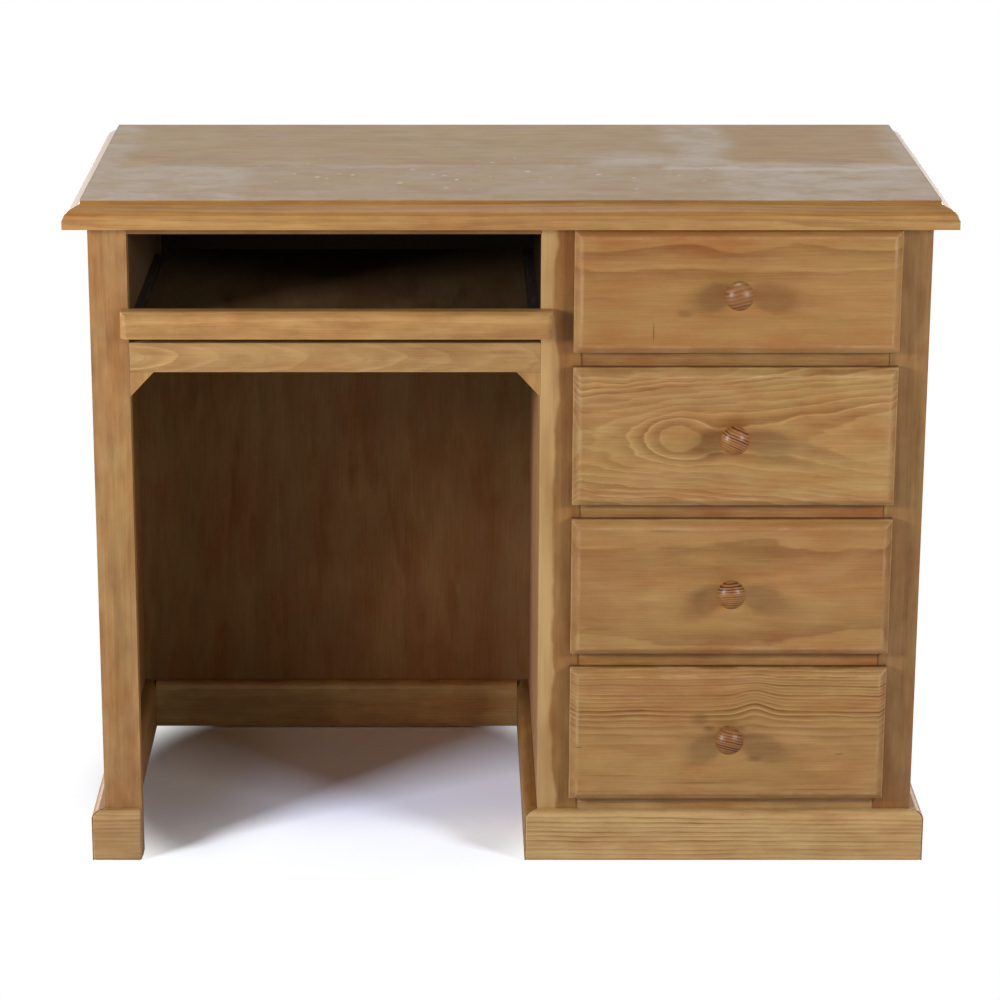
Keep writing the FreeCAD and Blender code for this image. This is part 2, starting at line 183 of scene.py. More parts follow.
def shader_group(name, inputs, outputs):
    """New shader group with named sockets: its sketch, its inputs and its outputs."""
    kinds = {float: "NodeSocketFloat", tuple: "NodeSocketColor", Vector: "NodeSocketVector"}
    tree = bpy.data.node_groups.new(name, "ShaderNodeTree")
    for label, value in inputs.items():
        socket = tree.interface.new_socket(name=label, in_out="INPUT", socket_type=kinds[type(value)])
        socket.default_value = value
    for label, kind in outputs.items():
        tree.interface.new_socket(name=label, in_out="OUTPUT", socket_type=kinds[kind])
    sketch = Sketch(tree)
    return sketch, sketch.node("NodeGroupInput").outputs, sketch.node("NodeGroupOutput").inputs


def new_material(name):
    """An empty node material and its sketch."""
    material = bpy.data.materials.new(name)
    material.use_nodes = True
    material.node_tree.nodes.clear()
    return material, Sketch(material.node_tree)


print("node helper ready")

# %% [markdown]
# ## Floor, daylight and lamps
# The desk stands on a white floor without a horizon. Two softboxes in front, one on each side and not far
# above the top, light it: each knob throws a soft shadow to both sides, a drawer front shades the stile next
# to it, and the kneehole stays dark. One overhead lights the top, and two behind are there for anyone who
# walks round the desk. The camera sees the floor as plain white, apart from the kneehole, where shadows stay.
# There the floor the camera sees is painted lighter towards the front and painted darker by the left leg.

# %% World and floor
AMBIENT = 0.07
FLOOR_SIZE = 30.0
FLOOR_TONE = (0.72, 0.71, 0.74, 1)
# what the camera sees of the floor in the kneehole, and where one tint fades into the next, in metres
FLOOR_SHOWN = (1.13, 1.22, 1.54, 1)
# painted light: the camera sees the floor lighter in front of the kneehole
FLOOR_PAINTED_LIGHT_IN_FRONT = (1.47, 1.58, 1.76, 1)
FRONT_FADE = (-0.15, -0.03)
# painted shade: the camera sees the floor darker by the left leg
FLOOR_PAINTED_SHADE_BY_LEG = (0.70, 0.69, 0.69, 1)
LEG_MIDDLE = Vector((-0.40, 0.10, 0.0))
LEG_STRETCH = (1.0, 0.45, 1.0)
LEG_FADE = (0.04, 0.17)
KNEE_MIDDLE = Vector((-0.20, 0.03, 0.0))
KNEE_REACH = (0.27, 0.29, 1.0)
KNEE_FADE = (0.90, 1.25)
WHITE = (1, 1, 1, 1)


def seen_directly(sketch):
    """1 for camera, mirror and see-through rays, and 0 for the rays that light other surfaces."""
    rays = sketch.node("ShaderNodeLightPath").outputs
    mirrored = sketch.math("MAXIMUM", rays["Is Glossy Ray"], rays["Is Transmission Ray"])
    return sketch.math("MAXIMUM", rays["Is Camera Ray"], mirrored)


world = bpy.data.worlds.new("studio")
scene.world = world
world.use_nodes = True
world.node_tree.nodes.clear()
sky = Sketch(world.node_tree)
light = sky.node("ShaderNodeBackground", {"Color": WHITE, "Strength": AMBIENT}).outputs[0]
white = sky.node("ShaderNodeBackground", {"Color": WHITE, "Strength": 1.0}).outputs[0]
sky_mix = sky.node("ShaderNodeMixShader", {0: seen_directly(sky), 1: light, 2: white}).outputs[0]
sky.node("ShaderNodeOutputWorld", {"Surface": sky_mix})

floor_material, tiles = new_material("white_floor")
spot = tiles.place()
away = tiles.vector("DIVIDE", tiles.vector("SUBTRACT", spot, KNEE_MIDDLE), KNEE_REACH)
far = tiles.smooth(tiles.length(away), *KNEE_FADE)
direct = tiles.node("ShaderNodeLightPath").outputs["Is Camera Ray"]
from_leg = tiles.length(tiles.vector("MULTIPLY", tiles.vector("SUBTRACT", spot, LEG_MIDDLE), LEG_STRETCH))
# painted light towards the front of the kneehole, then painted shade by the left leg
shown = tiles.mix(tiles.smooth(tiles.split(spot)[1], *FRONT_FADE), FLOOR_PAINTED_LIGHT_IN_FRONT, FLOOR_SHOWN)
shown = tiles.mix(tiles.smooth(from_leg, *LEG_FADE), FLOOR_PAINTED_SHADE_BY_LEG, shown)
paint = tiles.node("ShaderNodeBsdfDiffuse", {"Color": tiles.mix(direct, FLOOR_TONE, shown)}).outputs[0]
backdrop = tiles.node("ShaderNodeEmission", {"Color": WHITE, "Strength": 1.0}).outputs[0]
floor_mix = tiles.node("ShaderNodeMixShader", {0: tiles.product(far, direct), 1: paint, 2: backdrop})
tiles.node("ShaderNodeOutputMaterial", {"Surface": floor_mix.outputs[0]})

bpy.ops.mesh.primitive_plane_add(size=FLOOR_SIZE)
floor = bpy.context.object
floor.name = "floor"
floor.data.materials.append(floor_material)
print("floor and world ready")

# %% Softboxes
LAMP_TARGET = Vector((0.0, -0.1, 0.42))
LAMP_WIDTH = 0.55
LAMP_HEIGHT = 0.45
LAMPS = {
    "left_softbox": (Vector((-1.85, -1.35, 1.06)), 44.0),
    "right_softbox": (Vector((1.55, -1.35, 1.06)), 21.0),
    "overhead_softbox": (Vector((0.0, 0.25, 2.9)), 20.0),
    "back_left_softbox": (Vector((-1.7, 2.1, 1.1)), 26.0),
    "back_right_softbox": (Vector((1.7, 2.1, 1.1)), 26.0),
}


def softbox(name, place, power):
    """Rectangular area lamp that faces the desk and isn't seen itself."""
    lamp = bpy.data.lights.new(name, "AREA")
    lamp.shape = "RECTANGLE"
    lamp.size = LAMP_WIDTH
    lamp.size_y = LAMP_HEIGHT
    lamp.energy = power
    stand = bpy.data.objects.new(name, lamp)
    stand.location = place
    stand.rotation_euler = (LAMP_TARGET - place).to_track_quat("-Z", "Y").to_euler()
    stand.visible_camera = False
    scene.collection.objects.link(stand)


for lamp_name, (lamp_place, lamp_power) in LAMPS.items():
    softbox(lamp_name, lamp_place, lamp_power)
print(len(LAMPS), "softboxes")

# %% [markdown]
# ## A cut of pine
# A pine board is a slice through a trunk of nested rings. Each ring fades from pale wood to a dark band and
# then starts again at once. If the slice passes beside the pith, the rings show as long arches and ovals;
# where it passes the rings edge-on, as straight lines. So the grain is worked out in space: the distance from
# a pith line that lies behind the board's face and leans, bends and wanders along it. The same formula then
# gives matching lines round every edge, and end grain on the ends. Stain sinks into the soft wood, so on some
# boards the hard bands come out pale: a contrast below zero does that.

# %% Pine group
WARM_TINT = (0.90, 0.75, 0.60, 1)
OLIVE_TINT = (0.98, 1.10, 1.02, 1)
HOOK_ROUNDING = 0.03
CROWDING = 12.5
STAIN_DEPTH = 0.33


def make_pine_group():
    s, given, result = shader_group(
        "waxed_pine",
        {
            "Vector": Vector(), "Pale": (0.45, 0.25, 0.09, 1), "Dark": (0.24, 0.10, 0.03, 1),
            "Ring Width": 0.004, "Pith Depth": 0.06, "Lean": 0.0, "Hook": 0.0, "Open": 0.0, "Crowd": 0.0,
            "Calm": 0.0, "Wander": 0.006, "Wobble": 0.0012, "Contrast": 0.45, "Line": 0.15, "Fineness": 1.0,
            "Blotch": 0.6, "Streak": 0.45, "Swell": 0.0, "Seed": 0.0,
        },
        {"Color": tuple, "Roughness": float, "Height": float})
    seed = given["Seed"]
    shift = s.join(seed, s.product(seed, 1.7), s.product(seed, 0.6))
    along, across, depth = s.split(given["Vector"])

    def drawn_out(length_scale, cross_scale, offset):
        """The board's coordinates for a noise that is long along the grain."""
        stretched = s.vector("MULTIPLY", given["Vector"], (length_scale, cross_scale, cross_scale))
        return s.vector("ADD", s.vector("ADD", stretched, shift), (offset, offset, offset))

    # distance from a pith that leans, hooks and wanders
    bend = s.math("SQRT", s.math("MULTIPLY_ADD", along, along, HOOK_ROUNDING ** 2))
    bend = s.product(s.math("SUBTRACT", bend, s.product(along, given["Open"])), given["Hook"])
    slow = s.product(s.sway(drawn_out(2.6, 9.0, 0.0)), given["Wander"], 2.0)
    drift = s.product(s.sway(drawn_out(1.8, 5.0, 7.0)), given["Wander"], 3.0)
    behind = s.total(given["Pith Depth"], s.product(along, given["Lean"]), bend, slow)
    behind = s.math("SUBTRACT", behind, depth)
    beside = s.total(across, drift)
    radius = s.math("SQRT", s.total(s.product(behind, behind), s.product(beside, beside)))
    wobble = s.product(s.sway(drawn_out(15.0, 38.0, 21.0), detail=3.0), given["Wobble"], 2.0)
    radius = s.total(radius, given["Swell"], wobble)

    # rings, each with its own strength, that fade in and end at once
    crowded = s.math("SUBTRACT", s.product(radius, CROWDING), 1.0)
    crowded = s.math("MULTIPLY_ADD", crowded, given["Crowd"], 1.0)
    ripple = s.product(s.sway(drawn_out(13.0, 70.0, 3.0), detail=2.0), 0.6)
    rings = s.total(s.math("DIVIDE", s.product(radius, crowded), given["Ring Width"]), ripple)
    share = s.math("FRACT", rings)
    late = s.product(s.smooth(share, 0.15, 0.88), s.smooth(share, 0.92, 1.0, 1.0, 0.0))
    late = s.math("POWER", late, given["Fineness"])
    ring_seed = s.total(s.math("FLOOR", rings), seed)
    lot = s.node("ShaderNodeTexWhiteNoise", {"W": ring_seed}, noise_dimensions="1D").outputs[0]
    grown = s.smooth(s.math("SUBTRACT", radius, given["Calm"]), -0.012, 0.012, 0.2, 1.0)
    fading = s.smooth(s.noise(drawn_out(6.0, 20.0, 23.0), detail=2.0), 0.30, 0.66, 0.40, 1.20)
    band = s.product(late, s.math("MULTIPLY_ADD", lot, 0.7, 0.3), grown, fading)
    start = s.product(s.smooth(share, 0.0, 0.05), s.smooth(share, 0.08, 0.24, 1.0, 0.0), lot, grown, fading)

    # fibres, streaks, flecks and pores of the wood, then clouds of stain
    fibre = s.math("SUBTRACT", s.noise(drawn_out(16.0, 700.0, 1.0), detail=3.0, roughness=0.65), 0.5)
    streak = s.sway(drawn_out(6.0, 95.0, 5.0), detail=2.0)
    fleck = s.sway(drawn_out(24.0, 60.0, 13.0), detail=3.0)
    pores = s.smooth(s.noise(drawn_out(110.0, 1500.0, 2.0), detail=1.0), 0.66, 0.76)
    cloud = s.smooth(s.noise(drawn_out(8.0, 24.0, 11.0), detail=4.0, roughness=0.6), 0.38, 0.66)
    olive = s.smooth(s.noise(drawn_out(6.0, 17.0, 17.0), detail=4.0, roughness=0.6), 0.38, 0.66)

    deep = s.total(STAIN_DEPTH, s.product(band, given["Contrast"]), s.product(start, given["Line"], -1.0),
                   s.product(streak, given["Streak"]), s.product(fleck, given["Streak"], 1.6),
                   s.product(fibre, 0.8), s.product(pores, 0.3))
    wood = s.mix(deep, given["Pale"], given["Dark"], clamp_factor=False)
    warm = s.tinted(wood, WARM_TINT)
    green = s.tinted(wood, OLIVE_TINT)
    wood = s.mix(s.product(cloud, given["Blotch"]), wood, warm)
    s.feed(result["Color"], s.mix(s.product(olive, given["Blotch"], 0.8), wood, green))
    hard = s.math("MULTIPLY_ADD", band, -0.06, 0.47)
    s.feed(result["Roughness"], s.math("MULTIPLY_ADD", fibre, 0.16, hard))
    relief = s.math("MULTIPLY_ADD", fibre, 0.5, s.product(band, 0.35))
    s.feed(result["Height"], s.math("SUBTRACT", relief, s.product(pores, 0.5)))
    return s.tree


PINE = make_pine_group()
print("pine group with", len(PINE.nodes), "nodes")

# %% [markdown]
# ## Knots, sapwood and rubbed edges with painted highlights
# Rings flow round a knot as water flows round a stone, so a knot shifts the ring distance near it and darkens
# its own middle. Sapwood is the pale, yellower wood next to the bark, with a wavy border. Handled edges lose
# their stain: where the mesh marks an arris as worn, the wood turns paler and duller, broken up by noise, and
# this paler arris is partly wear and partly a painted highlight. A mark below zero does the opposite: end
# grain soaks up stain and turns darker, and the upper bevels of the drawer fronts turn darker towards their
# outline.

# %% Knot, sapwood and wear groups
# tint for marks below zero: end grain that soaked up stain, and the darker outer part of the fronts' upper
# bevels
SOAKED_TINT = (0.50, 0.44, 0.44, 1)


def make_knot_group():
    s, given, result = shader_group(
        "knot", {"Vector": Vector(), "Place": Vector(), "Length": 0.03, "Width": 0.02, "Push": 0.01},
        {"Swell": float, "Dark": float})
    x, y = s.split(s.vector("SUBTRACT", given["Vector"], given["Place"]))[:2]
    near = s.join(s.math("DIVIDE", x, given["Length"]), s.math("DIVIDE", y, given["Width"]), 0.0)
    ragged = s.vector("ADD", given["Vector"], s.join(0.0, s.sway(given["Vector"], 120.0), 0.0))
    span = s.total(s.length(near), s.product(s.sway(ragged, 90.0, 2.0), 0.7))
    spread = s.math("EXPONENT", s.product(s.length(near), s.length(near), -0.5))
    s.feed(result["Swell"], s.product(spread, given["Push"]))
    s.feed(result["Dark"], s.smooth(span, 0.20, 0.95, 1.0, 0.0))
    return s.tree


def make_sapwood_group():
    s, given, result = shader_group(
        "sapwood", {"Vector": Vector(), "Border": 0.0, "Waves": 0.018, "Soft": 0.0025, "Color": WHITE,
                    "Sapwood": (0.55, 0.35, 0.14, 1)}, {"Color": tuple})
    along, across = s.split(given["Vector"])[:2]
    wave = s.product(s.sway(s.join(s.product(along, 8.0), 0.0, 0.0), detail=4.0), given["Waves"], 2.0)
    inside = s.math("DIVIDE", s.math("SUBTRACT", s.total(given["Border"], wave), across), given["Soft"])
    lines = s.noise(s.join(s.product(along, 7.0), s.product(across, 160.0), 0.0), detail=3.0)
    patches = s.noise(s.join(s.product(along, 6.0), s.product(across, 25.0), 4.0), detail=2.0)
    share = s.product(s.smooth(inside, -1.0, 1.0), s.smooth(patches, 0.30, 0.55, 0.45, 1.0),
                      s.smooth(lines, 0.25, 0.60, 0.7, 1.0))
    s.feed(result["Color"], s.mix(share, given["Color"], given["Sapwood"]))
    return s.tree


def make_wear_and_highlight_group():
    s, given, result = shader_group(
        "rubbed_edge_and_highlight",
        {"Vector": Vector(), "Color": WHITE, "Roughness": 0.5, "Worn": 0.0, "Rubbed": (0.7, 0.5, 0.3, 1)},
        {"Color": tuple, "Roughness": float})
    broken = s.smooth(s.noise(given["Vector"], scale=22.0, detail=4.0, roughness=0.6), 0.40, 0.66)
    # paler where marked worn: partly wear, partly a painted highlight on the arris
    rubbed = s.product(s.math("MAXIMUM", given["Worn"], 0.0), s.math("MULTIPLY_ADD", broken, 0.9, 0.1))
    soaked = s.math("MAXIMUM", s.product(given["Worn"], -1.0), 0.0)
    uneven = s.smooth(s.noise(given["Vector"], scale=45.0, detail=3.0), 0.25, 0.70, 0.4, 1.2)
    soaked = s.product(soaked, uneven)
    deep = s.tinted(given["Color"], SOAKED_TINT)
    s.feed(result["Color"], s.mix(rubbed, s.mix(soaked, given["Color"], deep), given["Rubbed"]))
    s.feed(result["Roughness"], s.math("MULTIPLY_ADD", rubbed, 0.12, given["Roughness"]))
    return s.tree


KNOT = make_knot_group()
SAPWOOD = make_sapwood_group()
WEAR_AND_HIGHLIGHT = make_wear_and_highlight_group()
print("knot, sapwood and wear groups ready")

# %% [markdown]
# ## Film of dust and painted sheen on the top
# The top has stood for years with things on it. Where they stood, the wax is still clear and brown; elsewhere
# a pale, dull film has settled, partly dust and scratches and partly a painted sheen, the pale gloss a flat
# top shows when seen low. The clear patches are soft-edged rectangles whose edges a little noise breaks up,
# and the film is what they leave.

# %% Film group
def make_dust_and_sheen_group():
    s, given, result = shader_group(
        "dust_and_sheen_film",
        {"Vector": Vector(), "Color": WHITE, "Roughness": 0.5, "Clear": 0.0, "Specks": 0.0,
         "Film": (0.5, 0.4, 0.33, 1), "White": (0.7, 0.6, 0.6, 1), "Strength": 0.6},
        {"Color": tuple, "Roughness": float})
    # a pale film, partly dust and partly painted sheen, broken up by smears
    smears = s.noise(s.vector("MULTIPLY", given["Vector"], (15.0, 22.0, 1.0)), detail=6.0, roughness=0.68)
    patchy = s.smooth(smears, 0.30, 0.70, 0.42, 1.30)
    film = s.product(s.math("SUBTRACT", 1.0, given["Clear"]), patchy, given["Strength"])
    jolt = s.node("ShaderNodeTexNoise", {"Vector": given["Vector"], "Scale": 220.0}).outputs[1]
    jolted = s.vector("ADD", given["Vector"], s.vector("MULTIPLY", jolt, (0.006, 0.012, 0.0)))
    cells = s.node("ShaderNodeTexVoronoi", {"Vector": jolted, "Scale": 75.0}).outputs
    size = s.math("MULTIPLY_ADD", s.split(cells["Color"])[0], 0.42, -0.23)
    drops = s.smooth(s.math("SUBTRACT", cells["Distance"], size), -0.04, 0.14, 1.0, 0.0)
    gathered = s.smooth(s.noise(given["Vector"], 18.0, 2.0), 0.40, 0.62, 0.1, 1.0)
    drops = s.product(drops, given["Specks"], gathered)
    s.feed(result["Color"], s.mix(drops, s.mix(film, given["Color"], given["Film"]), given["White"]))
    s.feed(result["Roughness"], s.math("MULTIPLY_ADD", film, 0.22, s.total(given["Roughness"], 0.08)))
    return s.tree


def make_patch_group():
    s, given, result = shader_group(
        "clear_patch", {"Vector": Vector(), "Middle": Vector(), "Half Size": Vector(), "Soft": 0.03},
        {"Mask": float})
    elsewhere = s.vector("ADD", given["Vector"], (3, 5, 7))
    ragged = s.join(s.sway(given["Vector"], 14.0, 3.0), s.sway(elsewhere, 14.0, 3.0), 0)
    moved = s.vector("ADD", given["Vector"], s.vector("MULTIPLY", ragged, (0.05, 0.06, 0)))
    off_middle = s.vector("ABSOLUTE", s.vector("SUBTRACT", moved, given["Middle"]))
    x, y = s.split(s.vector("SUBTRACT", off_middle, given["Half Size"]))[:2]
    outside = s.length(s.join(s.math("MAXIMUM", x, 0.0), s.math("MAXIMUM", y, 0.0), 0.0))
    inside = s.math("MINIMUM", s.math("MAXIMUM", x, y), 0.0)
    beyond = s.math("DIVIDE", s.total(outside, inside), given["Soft"])
    s.feed(result["Mask"], s.smooth(beyond, -0.5, 0.5, 1.0, 0.0))
    return s.tree


DUST_AND_SHEEN = make_dust_and_sheen_group()
PATCH = make_patch_group()
print("film groups ready")

# %% [markdown]
# ## One material per board
# No two boards come from the same place in the trunk, so each gets its own material: the same groups, with a
# Mapping node that puts the board's own length along the grain, and its own pith, ring width and tone.

# %% Board materials
PALE = (0.450, 0.250, 0.092)
DARK = (0.235, 0.098, 0.027)
RUBBED = (0.52, 0.34, 0.18)
SAP = (0.50, 0.315, 0.128, 1)
KNOT_BROWN = (0.12, 0.05, 0.016, 1)
SHINE = 0.35
AXES = {"X": Vector((1, 0, 0)), "Y": Vector((0, 1, 0)), "Z": Vector((0, 0, 1))}


def board_turn(grain, face):
    """Rotation whose X axis runs along the grain and whose Z axis stands on the board's face."""
    x, z = AXES[grain], AXES[face]
    return Matrix((x, z.cross(x), z)).transposed().to_euler()


def toned(colour, tone):
    return (colour[0] * tone[0], colour[1] * tone[1], colour[2] * tone[2], 1)


def add_knots(s, mapping, values, knots):
    """Feeds the knots' swelling to the pine and gives back their darkness, or None."""
    darkness = None
    for spot, length, width, push, dark in knots:
        shape = {"Vector": mapping, "Place": spot, "Length": length, "Width": width, "Push": push}
        swell, middle = s.group(KNOT, shape)
        values["Swell"] = s.total(swell, values["Swell"]) if "Swell" in values else swell
        spot_dark = s.product(middle, dark)
        darkness = spot_dark if darkness is None else s.math("MAXIMUM", darkness, spot_dark)
    return darkness


def pine_material(name, grain, face, centre, seed, tone=(1, 1, 1), knots=(), sapwood=None, finish=None,
                  shine=SHINE, polish=0.0, **cut):
    """Waxed pine cut as the values in cut say. centre is the middle of the figure, in metres. finish is a
    function that lays something over the wood, and polish makes the whole board smoother and shinier."""
    material, s = new_material(name)
    place = s.place()
    values = {"Vector": place, "Location": centre, "Rotation": board_turn(grain, face)}
    mapping = s.node("ShaderNodeMapping", values, vector_type="TEXTURE").outputs[0]
    values = {"Vector": mapping, "Seed": seed, "Pale": toned(PALE, tone), "Dark": toned(DARK, tone)}
    values.update({label.replace("_", " ").title(): value for label, value in cut.items()})
    darkness = add_knots(s, mapping, values, knots)
    colour, roughness, height = s.group(PINE, values)
    if darkness is not None:
        colour = s.mix(darkness, colour, KNOT_BROWN)
    if sapwood is not None:
        values = {"Vector": mapping, "Border": sapwood, "Color": colour, "Sapwood": SAP}
        colour = s.group(SAPWOOD, values)[0]
    if finish is not None:
        colour, roughness = finish(s, place, colour, roughness)
    worn = s.node("ShaderNodeAttribute", attribute_name="worn").outputs["Fac"]
    values = {"Vector": place, "Color": colour, "Roughness": roughness, "Worn": worn}
    colour, roughness = s.group(WEAR_AND_HIGHLIGHT, {**values, "Rubbed": toned(RUBBED, tone)})
    bump = s.node("ShaderNodeBump", {"Height": height, "Strength": 0.25, "Distance": 0.0004}).outputs[0]
    s.coat({"Base Color": colour, "Roughness": s.math("SUBTRACT", roughness, polish), "Normal": bump,
            "Specular IOR Level": shine + polish})
    return material


print("board materials ready")

# %% [markdown]
# ## Rubbing the arrises
# A planed board has no razor-sharp edge. A copy of the imported board is merged, its flat faces are joined up
# again, and every sharp edge is rounded by about a millimetre. The middle of each rounding is marked as worn
# for the material, which paints it paler: partly wear and partly a painted highlight.

# %% Finishing a board
SHARP = math.radians(30)
FLAT = math.radians(0.4)
SAME_POINT = 0.01 * MM


def clean_copy(node):
    """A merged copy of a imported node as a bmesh, with one face for each flat side."""
    bm = bmesh.new()
    bm.from_mesh(nodes[node].data)
    bmesh.ops.remove_doubles(bm, verts=bm.verts, dist=SAME_POINT)
    bmesh.ops.dissolve_limit(bm, angle_limit=FLAT, verts=bm.verts, edges=bm.edges)
    return bm


def rub_arrises(bm, radius, wear):
    """Round the outer sharp edges and mark the middle of each rounding as worn."""
    outer = [edge for edge in bm.edges if edge.is_manifold and edge.is_convex]
    sharp = [edge for edge in outer if edge.calc_face_angle() > SHARP]
    made = bmesh.ops.bevel(bm, geom=sharp, offset=radius, offset_type="OFFSET", segments=3, profile=0.5,
                           affect="EDGES", clamp_overlap=True)
    rounded = set(made["faces"])
    worn = bm.verts.layers.float.new("worn")
    for vert in bm.verts:
        vert[worn] = wear if all(face in rounded for face in vert.link_faces) else 0.0


def stand_in(piece, node):
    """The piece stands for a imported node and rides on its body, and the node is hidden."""
    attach(piece, body_of[node])
    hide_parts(node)
    return piece


def show(bm, name, node, material):
    """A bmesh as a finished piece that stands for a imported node."""
    mesh = bpy.data.meshes.new(name)
    for face in bm.faces:
        face.smooth = True
    bm.to_mesh(mesh)
    bm.free()
    mesh.materials.append(material)
    piece = bpy.data.objects.new(name, mesh)
    scene.collection.objects.link(piece)
    piece.modifiers.new("flat_faces", "WEIGHTED_NORMAL").keep_sharp = True
    return stand_in(piece, node)


def board_material(node, grain, face, seed, figure=(0, 0, 0), aside=0.0, **look):
    """Pine for one board. figure is where the figure's middle lies from the board's, in mm, and aside how far
    the pith lies beside it, across the grain, in metres."""
    low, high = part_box(node)
    middle = (low + high) / 2 + Vector(figure) * MM
    middle = middle + AXES[face].cross(AXES[grain]) * aside
    if "sapwood" in look:
        look["sapwood"] -= aside
    return pine_material(f"pine_{node}", grain, face, middle, seed, **look)


def finished_board(node, rub=0.9, wear=0.5, **look):
    bm = clean_copy(node)
    rub_arrises(bm, rub * MM, wear)
    return show(bm, f"{node}_board", node, board_material(node, **look))


print("board finishing ready")

# %% [markdown]
# ## Boards of the frame
# Stiles and plinths are sawn so that the rings stand edge-on, which gives straight lines, so their pith lies
# far to one side. The rail over the knee space shows arches that point to the right. The middle stile has a
# strip of sapwood along its left edge. Wood over the tray is painted almost black, painted shade for the dark
# space over the tray, and the back of the kneehole is painted lighter low on the right and darker round that:
# painted light and painted shade.

# %% The frame's boards
EDGE_ON = dict(aside=0.14, pith_depth=0.03, wander=0.009, contrast=0.14, line=0.05, blotch=1.0, streak=0.75)
PANEL = dict(grain="Z", face="X", ring_width=0.007, wander=0.012)
STILE = dict(grain="Z", face="Y", ring_width=0.009, rub=0.5, **EDGE_ON)
RAIL = dict(grain="X", face="Y", rub=0.15, wear=0.0, **EDGE_ON)
FLAT_RAIL = dict(grain="X", face="Z", wear=0.0, **EDGE_ON)
FRONT_PLINTH = dict(grain="X", face="Y", ring_width=0.0052, rub=2.8, wobble=0.0014, fineness=2.2,
                    **{**EDGE_ON, "contrast": 0.55, "line": 0.15, "streak": 0.5, "blotch": 0.55})
SIDE_PLINTH = dict(grain="Y", face="X", **EDGE_ON)
# painted shade: tint that darkens the wood over the tray
TRAY_SHADE_TINT = (0.05, 0.055, 0.065, 1)
# painted light low on the right of the kneehole's back, and painted shade round it
PAINTED_LIGHT_MIDDLE = Vector((-0.04, 0.0, 0.18))
PAINTED_LIGHT_REACH = 0.20
PAINTED_LIGHT_TINT = (1.24, 1.32, 1.36, 1)
PAINTED_SHADE_TINT = (0.72, 0.82, 0.76, 1)
TRAY_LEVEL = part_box("tray_shelf")[1].z
TRAY_FADE = (TRAY_LEVEL - 0.075, TRAY_LEVEL - 0.03)
TRAY_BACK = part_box("back_panel")[0].y + MM
TRAY_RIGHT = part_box("pedestal_inner_panel")[0].x + MM


def painted_tray_shade(s, place, colour, roughness):
    """Painted shade: the wood in the space over the tray is darkened almost to black."""
    x, y, z = s.split(place)
    inside = s.product(s.math("LESS_THAN", y, TRAY_BACK), s.math("LESS_THAN", x, TRAY_RIGHT))
    share = s.product(s.smooth(z, *TRAY_FADE), inside)
    return s.mix(share, colour, s.tinted(colour, TRAY_SHADE_TINT)), roughness


def painted_back_light_and_shade(s, place, colour, roughness):
    """Painted light low on the right of the kneehole's back and painted shade round that, then the painted
    shade over the tray.
    """
    x, y, z = s.split(place)
    above = s.math("MAXIMUM", s.math("SUBTRACT", z, PAINTED_LIGHT_MIDDLE.z), 0.0)
    away = s.length(s.join(s.math("SUBTRACT", x, PAINTED_LIGHT_MIDDLE.x), 0.0, above))
    cloudy = s.total(s.math("DIVIDE", away, PAINTED_LIGHT_REACH), s.sway(place, 9.0, 4.0))
    tint = s.mix(s.smooth(cloudy, 0.2, 1.25), PAINTED_LIGHT_TINT, PAINTED_SHADE_TINT)
    tint = s.mix(s.math("LESS_THAN", y, TRAY_BACK), WHITE, tint)
    return painted_tray_shade(s, place, s.tinted(colour, tint), roughness)


